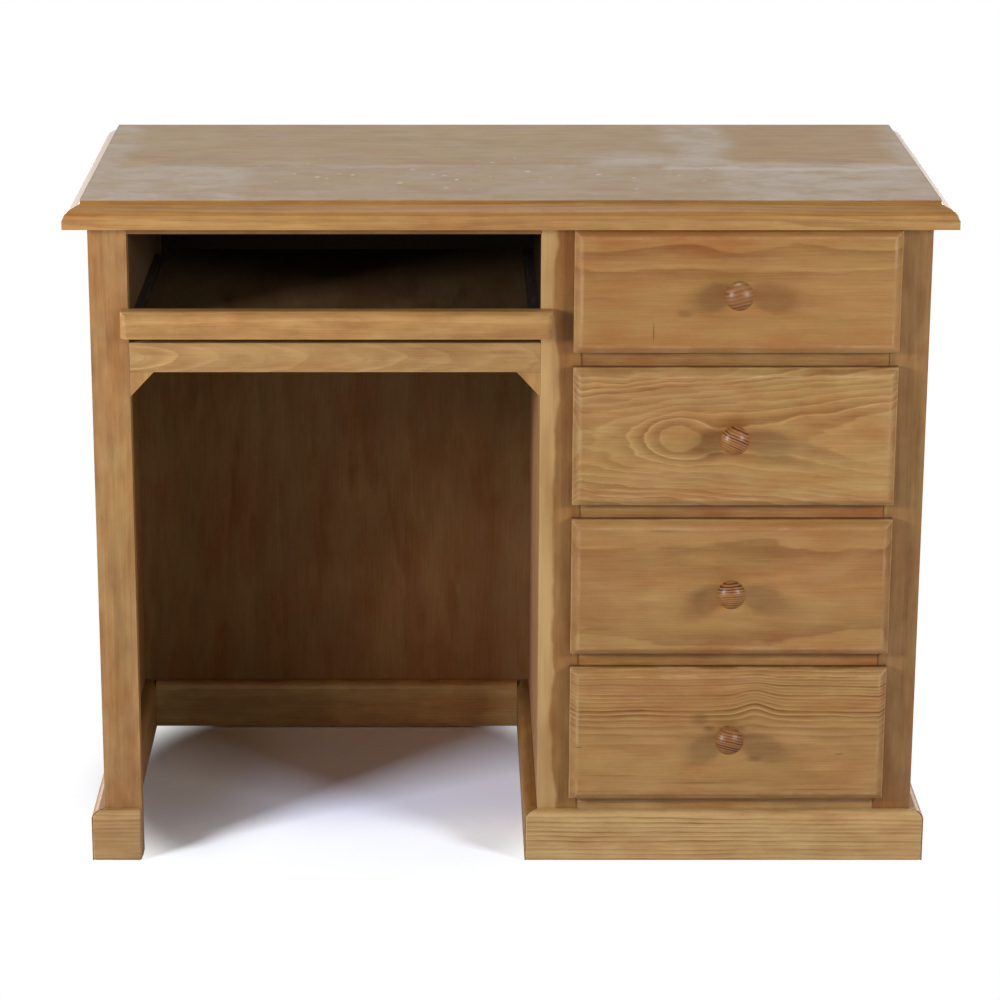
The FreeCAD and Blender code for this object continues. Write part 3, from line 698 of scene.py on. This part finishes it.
# dark marks: place, length, width and push on the rings in metres, then darkness
# a darker band down the middle of the left stile
LEFT_STILE_DARK_BAND = (
    (Vector((-0.17, -0.138, 0)), 0.30, 0.015, 0.0, 0.16),
    (Vector((-0.29, -0.145, 0)), 0.09, 0.020, 0.0, 0.10),
)
RED_STREAKS = (
    (Vector((0.285, -0.006, 0)), 0.045, 0.0035, 0.0, 0.30),
    (Vector((0.190, -0.011, 0)), 0.035, 0.0025, 0.0, 0.25),
    (Vector((-0.010, -0.002, 0)), 0.016, 0.0030, 0.001, 0.25),
)
FRAME_BOARDS = {
    "left_side_panel": dict(seed=5.2, **PANEL),
    "right_side_panel": dict(seed=6.4, tone=(0.95, 0.95, 0.95), **PANEL),
    # its upper part gets the painted shade over the tray
    "pedestal_inner_panel": dict(seed=7.7, tone=(1.06, 1.08, 1.55), finish=painted_tray_shade, shine=0.12,
                                 **PANEL),
    "left_stile": dict(seed=11.2, tone=(0.85, 0.86, 0.89), knots=LEFT_STILE_DARK_BAND, **STILE),
    "centre_stile": dict(seed=12.9, sapwood=-0.006, tone=(0.75, 0.68, 0.56), **STILE),
    "right_stile": dict(seed=14.3, tone=(0.72, 0.69, 0.69), **STILE),
    "knee_rail": dict(grain="X", face="Y", seed=15.1, ring_width=0.0040, pith_depth=0.02, lean=0.08,
                      wander=0.0012, wobble=0.0016, contrast=-0.60, fineness=2.5, streak=0.6,
                      figure=(-95, 0, 0), wear=0.1, knots=RED_STREAKS, tone=(0.92, 0.96, 1.02)),
    "knee_gussets": dict(seed=16.6, tone=(1.0, 1.03, 1.05), **STILE),
    # the rails' tones rise from the top rail to the bottom one: painted light that lifts the shade the fronts
    # cast on them
    "drawer_rail_1": dict(seed=17.2, tone=(0.83, 0.77, 0.73), **RAIL),
    "drawer_rail_2": dict(seed=18.8, tone=(0.90, 0.82, 0.82), **RAIL),
    "drawer_rail_3": dict(seed=19.1, tone=(1.02, 0.96, 0.87), **RAIL),
    "bottom_rail": dict(seed=20.4, tone=(1.18, 1.30, 1.52), **RAIL),
    "tray_top_rail": dict(seed=21.5, tone=(0.6, 0.55, 0.5), **FLAT_RAIL),
    "drawer_top_rail": dict(seed=22.6, **FLAT_RAIL),
    # a darker tone and the painted shade over the tray, where the lamps lit a band
    "back_top_rail": dict(seed=23.7, tone=(0.40, 0.45, 0.70), finish=painted_tray_shade, shine=0.0, **FLAT_RAIL),
    "left_front_plinth": dict(seed=24.8, tone=(1.03, 1.17, 1.41), **FRONT_PLINTH),
    "left_outer_plinth": dict(seed=25.9, **SIDE_PLINTH),
    # a darker tone: painted shade on the kneehole's left side
    "left_inner_plinth": dict(seed=26.1, tone=(0.74, 0.71, 0.68), **SIDE_PLINTH),
    # the painted light and shade of the kneehole's back reach the back plinth too
    "back_plinth": dict(seed=27.2, tone=(1.55, 1.68, 2.0), finish=painted_back_light_and_shade, **RAIL),
    "pedestal_inner_plinth": dict(seed=28.3, tone=(0.9, 0.9, 0.9), **SIDE_PLINTH),
    "pedestal_front_plinth": dict(seed=29.4, tone=(1.31, 1.57, 1.92), **FRONT_PLINTH),
    "pedestal_outer_plinth": dict(seed=30.5, **SIDE_PLINTH),
    "drawer_runners": dict(grain="Y", face="Z", seed=31.6, tone=(1.1, 1.15, 1.3)),
    # a dark tone: painted shade on the tray's side wall
    "tray_side_panel": dict(grain="Z", face="X", seed=32.7, polish=-0.2, tone=(0.26, 0.28, 0.38)),
    "tray_side_battens": dict(grain="Y", face="X", seed=33.8, tone=(1.1, 1.15, 1.3)),
    "tray_lip": dict(grain="X", face="Y", seed=35.3, ring_width=0.007, contrast=-0.4, streak=0.8,
                     wander=0.005, aside=-0.04, pith_depth=0.05, tone=(1.02, 1.02, 1.0)),
}
for board_node, board_look in FRAME_BOARDS.items():
    finished_board(board_node, **board_look)
print(len(FRAME_BOARDS), "boards of the frame")

# %% [markdown]
# ## The top
# The top is one wide board with its grain from end to end. The film of dust and painted sheen is laid only on
# its flat, by the height of the surface. The moulding along the front is waxed darker, and those at the ends
# are painted pale, a painted reflection of light off their slopes, and darker along the quirk where the
# moulding meets the flat.

# %% The top
# patches: middle, half size, softness of the edge and strength
CLEAR_SOFT = 0.036
CLEAR_PATCHES = (
    (Vector((-0.180, 0.135, 0)), Vector((0.265, 0.145, 0)), CLEAR_SOFT, 0.65),
    (Vector((0.115, 0.170, 0)), Vector((0.075, 0.100, 0)), CLEAR_SOFT, 0.68),
    (Vector((0.358, 0.145, 0)), Vector((0.098, 0.135, 0)), CLEAR_SOFT, 0.88),
    (Vector((-0.030, -0.115, 0)), Vector((0.270, 0.100, 0)), CLEAR_SOFT, 0.45),
)
WHITE_BAND = (Vector((0.330, -0.030, 0)), Vector((0.150, 0.007, 0)), 0.022, 0.5)
SPECKLED = (Vector((-0.02, -0.06, 0)), Vector((0.27, 0.09, 0)), 0.10, 0.9)
# tone and strength of the film: partly dust, partly painted sheen
DUST_AND_SHEEN_TONE = (0.490, 0.412, 0.352, 1)
DUST_AND_SHEEN_STRENGTH = 0.75
# pale tone of the film's specks and band, and of the painted reflection on the end slopes
WHITE_DUST_AND_GLARE_TONE = (0.66, 0.61, 0.58, 1)
FADED_TINT = (0.82, 0.96, 1.02, 1)
WAXED_TINT = (0.80, 0.71, 0.42, 1)
PAINTED_END_GLARE = 0.5
# a darker line along the quirk of the end mouldings
QUIRK_DARK_TONE = (0.20, 0.13, 0.085, 1)
QUIRK_DARK_SHARE = 0.7
QUIRK_DARK_REACH = (0.5 * MM, 1.4 * MM)
TOP_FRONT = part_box("desk_top")[0].y
MOULDED_LEVEL = cad_high.z - 14.5 * MM
MOULDED_WIDTH = 20 * MM
QUIRK_INSET = 18.8 * MM


def dust_and_sheen_on_top(s, place, colour, roughness):
    """Film of dust and painted sheen on the flat of the top, with clear patches left in it, and slopes at both
    ends painted pale as a painted reflection.
    """
    def patch(middle, half_size, soft, strength):
        values = {"Vector": place, "Middle": middle, "Half Size": half_size, "Soft": soft}
        return s.product(s.group(PATCH, values)[0], strength)

    def moulding(distance, other):
        nearer = s.math("LESS_THAN", distance, other)
        return s.product(nearer, s.math("LESS_THAN", distance, MOULDED_WIDTH))

    clear = 0.0
    for clear_patch in CLEAR_PATCHES:
        clear = s.math("MAXIMUM", clear, patch(*clear_patch))
    values = {"Vector": place, "Color": s.tinted(colour, FADED_TINT), "Roughness": roughness, "Clear": clear,
              "Specks": patch(*SPECKLED), "Film": DUST_AND_SHEEN_TONE, "White": WHITE_DUST_AND_GLARE_TONE, "Strength": DUST_AND_SHEEN_STRENGTH}
    # the film is partly dust and partly painted sheen
    filmed, dulled = s.group(DUST_AND_SHEEN, values)
    filmed = s.mix(patch(*WHITE_BAND), filmed, WHITE_DUST_AND_GLARE_TONE)
    x, y, z = s.split(place)
    from_end = s.math("SUBTRACT", cad_high.x, s.math("ABSOLUTE", x))
    from_front = s.math("SUBTRACT", y, TOP_FRONT)
    at_end = moulding(from_end, from_front)
    at_front = moulding(from_front, from_end)
    flat = s.smooth(z, cad_high.z - 1.2 * MM, cad_high.z - 0.4 * MM)
    moulded = s.smooth(z, MOULDED_LEVEL - MM, MOULDED_LEVEL)
    edge = s.mix(s.product(moulded, at_front), colour, s.tinted(colour, WAXED_TINT))
    # painted reflection: the slopes at both ends are mixed towards white
    edge = s.mix(s.product(moulded, at_end, PAINTED_END_GLARE), edge, WHITE_DUST_AND_GLARE_TONE)
    # darker along the quirk of the end mouldings
    off_quirk = s.math("ABSOLUTE", s.math("SUBTRACT", from_end, QUIRK_INSET))
    quirk_dark = s.product(s.smooth(off_quirk, *QUIRK_DARK_REACH, 1.0, 0.0), at_end, QUIRK_DARK_SHARE)
    rough = s.math("MULTIPLY_ADD", s.math("SUBTRACT", dulled, roughness), flat, roughness)
    return s.mix(quirk_dark, s.mix(flat, edge, filmed), QUIRK_DARK_TONE), rough


finished_board("desk_top", rub=0.8, wear=0.1, grain="X", face="Z", seed=3.1, ring_width=0.006, contrast=0.4,
               wander=0.012, pith_depth=0.09, finish=dust_and_sheen_on_top, tone=(1.03, 1.02, 0.96))
print("top with", len(CLEAR_PATCHES), "clear patches")

# %% [markdown]
# ## Plywood
# The back of the kneehole, the tray's shelf and the drawer bottoms are plywood, peeled from the log like
# paper from a roll. The knife meets the rings almost flat, so the figure is broad, soft and mottled.

# %% Plywood pieces
PLYWOOD = dict(rub=0.3, ring_width=0.030, pith_depth=0.35, wander=0.05, wobble=0.006, contrast=0.45,
               blotch=1.0, streak=0.45)
finished_board("back_panel", grain="Z", face="Y", seed=8.3, tone=(1.00, 0.96, 1.18), finish=painted_back_light_and_shade,
               shine=0.05, **{**PLYWOOD, "streak": 0.2, "contrast": 0.25})
finished_board("tray_shelf", wear=0.0, grain="Y", face="Z", seed=34.9, tone=(0.38, 0.42, 0.55), **PLYWOOD)
for number in DRAWERS:
    finished_board(f"drawer_{number}_bottom", grain="X", face="Z", seed=80.0 + 3 * number,
                   tone=(1.05, 1.15, 1.4), **PLYWOOD)
print("plywood pieces ready")

# %% [markdown]
# ## Drawer fronts
# Each front overlaps its opening and has a wide bevel all round that was cut by hand, so it is a little
# crowned and its inner arris wavers. A bevel modifier would leave it dead straight. Instead the front is
# lofted from rings: each ring is the front's outline, drawn in and pushed back by a step of the bevel's
# section, with a little noise across. The bevels at the two ends cut across the grain and have soaked up more
# stain. The lower bevel is painted paler, as painted light, and the upper one is darker towards its outline.

# %% Planed drawer fronts
END_WAVER = 0.9 * MM
EDGE_WAVER = 0.4 * MM
WAVES = 11
STEPS_PER_SIDE = 64
CALM_CORNER = 1 / 8
TOUCH = 0.1 * MM
# shares of the bevel's width and depth, what is added to them in mm, then shares of rubbing, darkening and
# waver
BEVEL_SECTION = (
    (0.0, 1.0, 0.0, 0.7, 0.5, -2.0, 0.0),
    (0.0, 1.0, 0.1, 0.2, 0.6, -1.0, 0.0),
    (0.0, 1.0, 0.5, -0.7, 0.4, 0.5, 0.0),
    (0.25, 0.70, 0.0, 0.0, 0.0, 0.9, 0.2),
    (0.50, 0.42, 0.0, 0.0, 0.05, 0.6, 0.5),
    (0.75, 0.18, 0.0, 0.0, 0.15, 0.3, 0.8),
    (0.92, 0.06, 0.0, 0.0, 0.45, 0.0, 1.0),
    (1.0, 0.015, 0.8, 0.0, 0.35, 0.0, 1.0),
    (1.0, 0.0, 2.2, 0.0, 0.0, 0.0, 1.0),
)
SIDES = ((0, 1), (-1, 0), (0, -1), (1, 0))
# painted light makes the lower bevel paler; the upper bevel is darker towards its outline
LOWER_BEVEL_PAINTED_LIGHT = -0.35
UPPER_BEVEL_DARKENING = 0.30


def bevel_of(node):
    """Width and depth of a packed front's bevel, read from its face and its left edge."""
    low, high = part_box(node)
    points = [vert.co for vert in nodes[node].data.vertices]
    face = [point.x for point in points if point.y < low.y + TOUCH]
    rim = [point.y for point in points if point.x < low.x + TOUCH]
    return min(face) - low.x, min(rim) - low.y


def ring_points(low, high, inset, depth, share, seed):
    """One closed ring of the loft, seen from the front, anticlockwise from the lower left corner."""
    corners = [(low.x + inset, low.z + inset), (high.x - inset, low.z + inset),
               (high.x - inset, high.z - inset), (low.x + inset, high.z - inset)]
    points = []
    for side, inward in enumerate(SIDES):
        (x0, z0), (x1, z1) = corners[side], corners[(side + 1) % 4]
        reach = EDGE_WAVER if side % 2 == 0 else END_WAVER
        for step in range(STEPS_PER_SIDE):
            t = step / STEPS_PER_SIDE
            calm = min(1.0, t / CALM_CORNER, (1 - t) / CALM_CORNER)
            push = noise.noise(Vector((WAVES * t, 3.7 * side, seed))) * reach * share * calm
            points.append(Vector((x0 + (x1 - x0) * t + inward[0] * push, low.y + depth,
                                  z0 + (z1 - z0) * t + inward[1] * push)))
    return points


def planed_front(node, seed, soaked, **look):
    """Front lofted from rings. soaked is how much stain the left and the right bevel took up."""
    low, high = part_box(node)
    width, depth = bevel_of(node)
    bm = bmesh.new()
    worn = bm.verts.layers.float.new("worn")
    back = [bm.verts.new(point) for point in ring_points(low, high, 0.0, high.y - low.y, 0.0, seed)]
    rings = [back]
    # end-grain stain on the ends, painted light on the lower bevel, darkening on the upper one
    bevel_darkening = (LOWER_BEVEL_PAINTED_LIGHT, soaked[1], UPPER_BEVEL_DARKENING, soaked[0])
    for vert in back:
        vert[worn] = 1.0
    for width_share, depth_share, more_inset, more_depth, rub, darkening_share, waver_share in BEVEL_SECTION:
        inset = width * width_share + more_inset * MM
        behind = depth * depth_share + more_depth * MM
        ring = [bm.verts.new(point) for point in ring_points(low, high, inset, behind, waver_share, seed)]
        for i, vert in enumerate(ring):
            vert[worn] = rub - bevel_darkening[i // STEPS_PER_SIDE] * darkening_share
        rings.append(ring)
    count = len(back)
    for outer, inner in zip(rings, rings[1:]):
        for i in range(count):
            j = (i + 1) % count
            bm.faces.new((outer[i], outer[j], inner[j], inner[i]))
    bm.faces.new(rings[-1])
    bm.faces.new(back[::-1])
    bmesh.ops.recalc_face_normals(bm, faces=bm.faces)
    return show(bm, f"{node}_planed", node, board_material(node, "X", "Y", seed, **look))


def front_knots(figure, knots):
    """Knots given in mm right of and above the front's middle, for a figure whose middle lies elsewhere."""
    return [(Vector((right - figure[0], figure[2] - up, 0)) * MM, length * MM, width * MM, push * MM, dark)
            for right, up, length, width, push, dark in knots]


FRONTS = {
    1: dict(seed=43.0, soaked=(0.2, 0.3), figure=(0, 0, -118), ring_width=0.02215, pith_depth=0.05,
            calm=0.140, contrast=0.55, line=0.2, wobble=0.0040, wander=0.003, blotch=1.0, streak=0.22,
            tone=(0.96, 0.91, 0.84)),
    2: dict(seed=46.0, soaked=(0.7, 0.6), figure=(-66, 0, -1), ring_width=-0.0108, pith_depth=0.060,
            hook=-0.085, open=-1.0, crowd=1.0, calm=0.042, contrast=0.50, line=0.35, wobble=0.0055,
            wander=0.002, blotch=1.0, streak=0.40, tone=(1.04, 1.10, 1.12)),
    3: dict(seed=49.0, soaked=(0.5, 0.6), figure=(0, 0, -5), ring_width=0.01789, pith_depth=0.098, hook=0.05,
            contrast=0.65, line=0.6, wobble=0.0045, wander=0.0015, blotch=1.0, streak=0.28,
            tone=(0.96, 0.93, 0.89)),
    4: dict(seed=52.0, soaked=(0.2, 0.6), figure=(0, 0, -36), ring_width=0.0093, pith_depth=0.02, crowd=1.0,
            calm=0.052, contrast=0.90, line=0.4, wobble=0.0022, wander=0.002, blotch=0.9, streak=0.35,
            tone=(1.00, 1.01, 0.99)),
}
# right of and above the front's middle, length, width and push on the rings in mm, darkness
KNOTS = {
    1: ((-59, -24, 13, 7, 9, 0.40), (-93, -45, 0.9, 17, 0, 0.9), (-58, 53, 26, 14, -7, 0.0),
        (62, 55, 26, 14, -8, 0.0)),
    2: ((-66, -1, 22, 18, -17, 0.0), (-60, 0, 62, 40, -15, 0.0)),
    3: ((-39, -6, 22, 6, 4, 0.25), (-78, 69, 30, 3, 0, 0.3)),
    # round the fourth knob the dark spots are partly stain and partly painted shadow of the knob
    4: ((30, 41, 14, 20, -8, 0.0), (2, 2, 26, 22, 0, 0.36), (-21, 9, 11, 6, 0, 0.55), (15, 9, 9, 6, 0, 0.35),
        (31, -28, 14, 6, 0, 0.45), (-171, -14.5, 6, 1.2, 0, 0.7), (129.5, -22.5, 8, 1.2, 0, 0.7),
        (-32, 20, 15, 13, 0, 0.36), (-130, -49, 50, 1.6, 0, 0.35), (-30, -58, 60, 1.6, 0, 0.4),
        (110, -66, 80, 1.6, 0, 0.4), (110, -44, 60, 1.3, 0, 0.3)),
}
for number, front_look in FRONTS.items():
    knots = front_knots(front_look["figure"], KNOTS[number])
    planed_front(f"drawer_{number}_front", knots=knots, **front_look)
print(len(FRONTS), "planed fronts")

# %% [markdown]
# ## Drawer boxes
# Behind the fronts the boxes were never stained: bare pine, paler and duller, with its figure along each
# board.

# %% Drawer boxes
BARE = dict(tone=(1.22, 1.38, 1.75), ring_width=0.005, contrast=0.4, blotch=0.2)
for number in DRAWERS:
    drawer = f"drawer_{number}"
    finished_board(f"{drawer}_left_side", grain="Y", face="X", seed=50.5 + 3 * number, **BARE)
    finished_board(f"{drawer}_right_side", grain="Y", face="X", seed=61.5 + 3 * number, **BARE)
    finished_board(f"{drawer}_back", grain="X", face="Y", seed=72.5 + 3 * number, **BARE)
print("drawer boxes ready")

# %% [markdown]
# ## Turning with Geometry Nodes
# Knobs and screws are turned on a lathe, so their shape is one profile spun round an axis. The tree bends a
# grid into that form: one way round it is the angle, the other way is the profile, read from two curves for
# the height and the radius. It sets a copy on every point it is given, turned to the point's axis.

# %% Lathe tree
CROSS_SHARES = (0.28, 1.15, 0.5)


def profile_curve(s, shares, spread, along):
    """Float curve through the profile's shares, spread evenly by their length."""
    curve = s.node("ShaderNodeFloatCurve", {"Value": along})
    points = curve.mapping.curves[0].points
    while len(points) < len(shares):
        points.new(0.5, 0.5)
    for point, at, share in zip(points, spread, shares):
        point.location = (at, share)
        point.handle_type = "AUTO_CLAMPED"
    curve.mapping.update()
    return curve.outputs[0]


def lathe_tree(name, profile, sizes, material, rings, slotted=False):
    """Tree that sets a turned piece on each point. profile holds shares of height and radius, seat first."""
    tree = bpy.data.node_groups.new(name, "GeometryNodeTree")
    tree.interface.new_socket(name="Geometry", in_out="INPUT", socket_type="NodeSocketGeometry")
    for label, size in sizes.items():
        kind = "NodeSocketInt" if isinstance(size, int) else "NodeSocketFloat"
        tree.interface.new_socket(name=label, in_out="INPUT", socket_type=kind).default_value = size
    tree.interface.new_socket(name="Geometry", in_out="OUTPUT", socket_type="NodeSocketGeometry")
    s = Sketch(tree)
    given = s.node("NodeGroupInput").outputs
    spread = [0.0]
    for (h0, r0), (h1, r1) in zip(profile, profile[1:]):
        spread.append(spread[-1] + math.hypot(h1 - h0, r1 - r0))
    spread = [value / spread[-1] for value in spread]
    counts = {"Vertices X": given["Segments"], "Vertices Y": rings}
    grid = s.node("GeometryNodeMeshGrid", {"Size X": 1.0, "Size Y": 1.0, **counts})
    u, v = s.split(s.node("GeometryNodeInputPosition").outputs[0])[:2]
    turn = s.product(s.total(u, 0.5), math.tau)
    step = s.total(v, 0.5)
    height = s.product(profile_curve(s, [h for h, r in profile], spread, step), given["Length"])
    radius = s.product(profile_curve(s, [r for h, r in profile], spread, step), given["Radius"])
    spun = s.join(s.product(radius, s.math("COSINE", turn)), s.product(radius, s.math("SINE", turn)), height)
    solid = s.node("GeometryNodeSetPosition", {"Geometry": grid.outputs["Mesh"], "Position": spun}).outputs[0]
    solid = s.node("GeometryNodeMergeByDistance", {"Geometry": solid, "Distance": SAME_POINT}).outputs[0]
    if slotted:
        solid = cut_cross(s, solid, given)
    solid = s.node("GeometryNodeSetShadeSmooth", {"Geometry": solid, "Shade Smooth": True}).outputs[0]
    axis = s.node("GeometryNodeInputNamedAttribute", {"Name": "axis"}, data_type="FLOAT_VECTOR").outputs[0]
    facing = s.node("FunctionNodeAlignRotationToVector", {"Vector": axis}, axis="Z").outputs[0]
    values = {"Points": given["Geometry"], "Instance": solid, "Rotation": facing}
    placed = s.node("GeometryNodeInstanceOnPoints", values).outputs[0]
    real = s.node("GeometryNodeRealizeInstances", {"Geometry": placed}).outputs[0]
    finished = s.node("GeometryNodeSetMaterial", {"Geometry": real, "Material": material}).outputs[0]
    s.node("NodeGroupOutput", {"Geometry": finished})
    return tree


def cut_cross(s, solid, given):
    """Cross recess in the head, which lies at the profile's lower end."""
    width, reach, deep = (s.product(given["Radius"], share) for share in CROSS_SHARES)
    for size in (s.join(width, reach, deep), s.join(reach, width, deep)):
        bar = s.node("GeometryNodeMeshCube", {"Size": size}).outputs["Mesh"]
        solid = s.node("GeometryNodeMeshBoolean", {0: solid, 1: bar}, operation="DIFFERENCE",
                       solver="EXACT").outputs["Mesh"]
    return solid


def turned_pieces(name, node, places, tree, sizes):
    """Runs the tree on points with axes and keeps the result as one plain mesh that stands for the node."""
    mesh = bpy.data.meshes.new(f"{name}_points")
    mesh.from_pydata([point for point, axis in places], [], [])
    axes = mesh.attributes.new("axis", "FLOAT_VECTOR", "POINT")
    for entry, (point, axis) in zip(axes.data, places):
        entry.vector = axis
    seed_points = bpy.data.objects.new(f"{name}_points", mesh)
    scene.collection.objects.link(seed_points)
    lathe = seed_points.modifiers.new("lathe", "NODES")
    lathe.node_group = tree
    sockets = {item.name: item.identifier for item in tree.interface.items_tree if item.in_out == "INPUT"}
    for label, size in sizes.items():
        lathe[sockets[label]] = size
    depsgraph = bpy.context.evaluated_depsgraph_get()
    made = bpy.data.meshes.new_from_object(seed_points.evaluated_get(depsgraph))
    made.name = name
    bpy.data.objects.remove(seed_points)
    piece = bpy.data.objects.new(name, made)
    scene.collection.objects.link(piece)
    print(name, "has", len(made.polygons), "faces")
    return stand_in(piece, node)


print("lathe ready")

# %% [markdown]
# ## Knobs
# A knob is turned from a blank whose grain runs along its axis, so its front shows end grain: close, dark
# arcs of rings across the ball. The ball is an ellipse, and below it a hollow neck flares to a foot.

# %% Knobs
KNOB_RADIUS = 16.25 * MM
KNOB_LENGTH = 36.0 * MM
BALL_MIDDLE = 0.625
NECK = ((0.0, 0.0), (0.0, 0.55), (0.012, 0.585), (0.075, 0.585), (0.10, 0.55), (0.21, 0.431), (0.29, 0.50))
BALL_ANGLES = range(-46, 91, 17)
KNOB_PROFILE = NECK + tuple(
    (BALL_MIDDLE + (1 - BALL_MIDDLE) * math.sin(math.radians(angle)), max(0.0, math.cos(math.radians(angle))))
    for angle in (*BALL_ANGLES, 90))
# sideways shift of the pith, ring width and shade of each knob's blank
KNOB_BLANKS = {
    1: (0.010, 0.0046, 0.84),
    2: (-0.024, 0.0030, 1.04),
    3: (0.004, 0.0026, 0.97),
    4: (-0.014, 0.0030, 0.84),
}
KNOB_PINE = dict(pith_depth=-0.055, wander=0.002, wobble=0.0004, contrast=1.55, streak=0.3, polish=0.06)
KNOB_TONE = Vector((0.90, 0.80, 0.68))
KNOB_SIZES = {"Segments": 64, "Radius": KNOB_RADIUS, "Length": KNOB_LENGTH}

for number, (lean, ring_width, shade) in KNOB_BLANKS.items():
    node = f"drawer_{number}_knob"
    low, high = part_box(node)
    seat = Vector(((low.x + high.x) / 2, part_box(f"drawer_{number}_front")[0].y, (low.z + high.z) / 2))
    material = pine_material(f"pine_{node}", "Y", "Z", seat + Vector((lean, 0, 0)), 90.0 + 3.3 * number,
                             ring_width=ring_width, tone=KNOB_TONE * shade, **KNOB_PINE)
    tree = lathe_tree(f"turned_knob_{number}", KNOB_PROFILE, KNOB_SIZES, material, rings=48)
    turned_pieces(f"{node}_turned", node, [(seat, -AXES["Y"])], tree, KNOB_SIZES)

# %% [markdown]
# ## Slides and rollers
# The tray runs on a pair of steel slides in dark brown enamel, with white nylon rollers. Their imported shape
# is right, so they only get a finish: enamel that is scuffed through to bare metal here and there, and nylon
# with faint marks round it.

# %% Slide and roller finishes
def enamel_material():
    material, s = new_material("slide_enamel")
    place = s.place()
    scuff = s.smooth(s.noise(s.vector("MULTIPLY", place, (300.0, 20.0, 300.0)), detail=3.0), 0.60, 0.70)
    grit = s.noise(place, 900.0, 2.0)
    colour = s.mix(s.product(scuff, 0.7), (0.045, 0.034, 0.028, 1), (0.30, 0.28, 0.26, 1))
    roughness = s.math("MULTIPLY_ADD", grit, 0.25, 0.35)
    bump = s.node("ShaderNodeBump", {"Height": grit, "Strength": 0.15, "Distance": 0.0002}).outputs[0]
    s.coat({"Base Color": colour, "Roughness": roughness, "Metallic": s.product(scuff, 0.8), "Normal": bump})
    return material


def marked_material(name, stretch, detail, edges, tones, rough, metallic):
    """Two tones mixed by one noise, which also makes the surface rougher by rough[0] from rough[1]."""
    material, s = new_material(name)
    marks = s.noise(s.vector("MULTIPLY", s.place(), stretch), detail=detail)
    s.coat({"Base Color": s.mix(s.smooth(marks, *edges), *tones), "Metallic": metallic,
            "Roughness": s.math("MULTIPLY_ADD", marks, *rough)})
    return material


def repaint(node, material):
    """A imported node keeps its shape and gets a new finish."""
    slots = nodes[node].data.materials
    slots.clear()
    slots.append(material)


ENAMEL = enamel_material()
NYLON = marked_material("roller_nylon", (2500.0, 60.0, 60.0), 2.0, (0.45, 0.75),
                        ((0.72, 0.70, 0.64, 1), (0.42, 0.39, 0.34, 1)), (0.2, 0.35), 0.0)
for slide_node in ("slide_channels", "slide_rails"):
    repaint(slide_node, ENAMEL)
for roller_node in ("front_rollers", "rear_rollers"):
    repaint(roller_node, NYLON)
print("slides and rollers finished")

# %% [markdown]
# ## Screws
# Six countersunk screws hold the top, and eight pan-head ones the slides. The lathe tree turns them too, with
# a cross cut into the head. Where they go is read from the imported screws: each one's box gives its axis, and
# its wider end is the head.

# %% Screws
def loose_parts(bm):
    """The corners of each separate solid in a bmesh, in the order of their first vertices."""
    seen = set()
    for first in bm.verts:
        if first in seen:
            continue
        part = [first]
        seen.add(first)
        for vert in part:
            found = [edge.other_vert(vert) for edge in vert.link_edges]
            found = [other for other in found if other not in seen]
            part.extend(found)
            seen.update(found)
        yield [vert.co.copy() for vert in part]


def screw_places(node):
    """Head point, inward axis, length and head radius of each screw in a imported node."""
    bm = clean_copy(node)
    places = []
    for points in loose_parts(bm):
        low = Vector([min(point[i] for point in points) for i in range(3)])
        high = Vector([max(point[i] for point in points) for i in range(3)])
        size = high - low
        middle = (low + high) / 2
        long_way = max(range(3), key=lambda i: size[i])
        axis = AXES["XYZ"[long_way]]
        widest = max(points, key=lambda point: (point - middle).cross(axis).length)
        inward = axis if widest[long_way] < middle[long_way] else -axis
        radius = min(size[i] for i in range(3) if i != long_way) / 2
        places.append((middle - inward * size[long_way] / 2, inward, size[long_way], radius))
    bm.free()
    return places


SINK_PROFILE = ((0.0, 0.0), (0.0, 0.96), (0.01, 1.0), (0.107, 0.5), (0.88, 0.5), (1.0, 0.06), (1.0, 0.0))
PAN_PROFILE = ((0.0, 0.0), (0.01, 0.62), (0.05, 0.90), (0.10, 1.0), (0.155, 1.0), (0.16, 0.5), (0.80, 0.5),
               (1.0, 0.06), (1.0, 0.0))
SCREWS = {"top_fixing_screws": SINK_PROFILE, "slide_screws": PAN_PROFILE, "tray_screws": PAN_PROFILE}
ZINC = marked_material("screw_zinc", (700.0, 700.0, 700.0), 3.0, (0.35, 0.7),
                       ((0.52, 0.50, 0.44, 1), (0.68, 0.66, 0.60, 1)), (0.3, 0.2), 1.0)
for screw_node, profile in SCREWS.items():
    found = screw_places(screw_node)
    screw_sizes = {"Segments": 32, "Radius": found[0][3], "Length": found[0][2]}
    tree = lathe_tree(f"turned_{screw_node}", profile, screw_sizes, ZINC, rings=40, slotted=True)
    places = [(head, inward) for head, inward, length, radius in found]
    turned_pieces(f"{screw_node}_turned", screw_node, places, tree, screw_sizes)
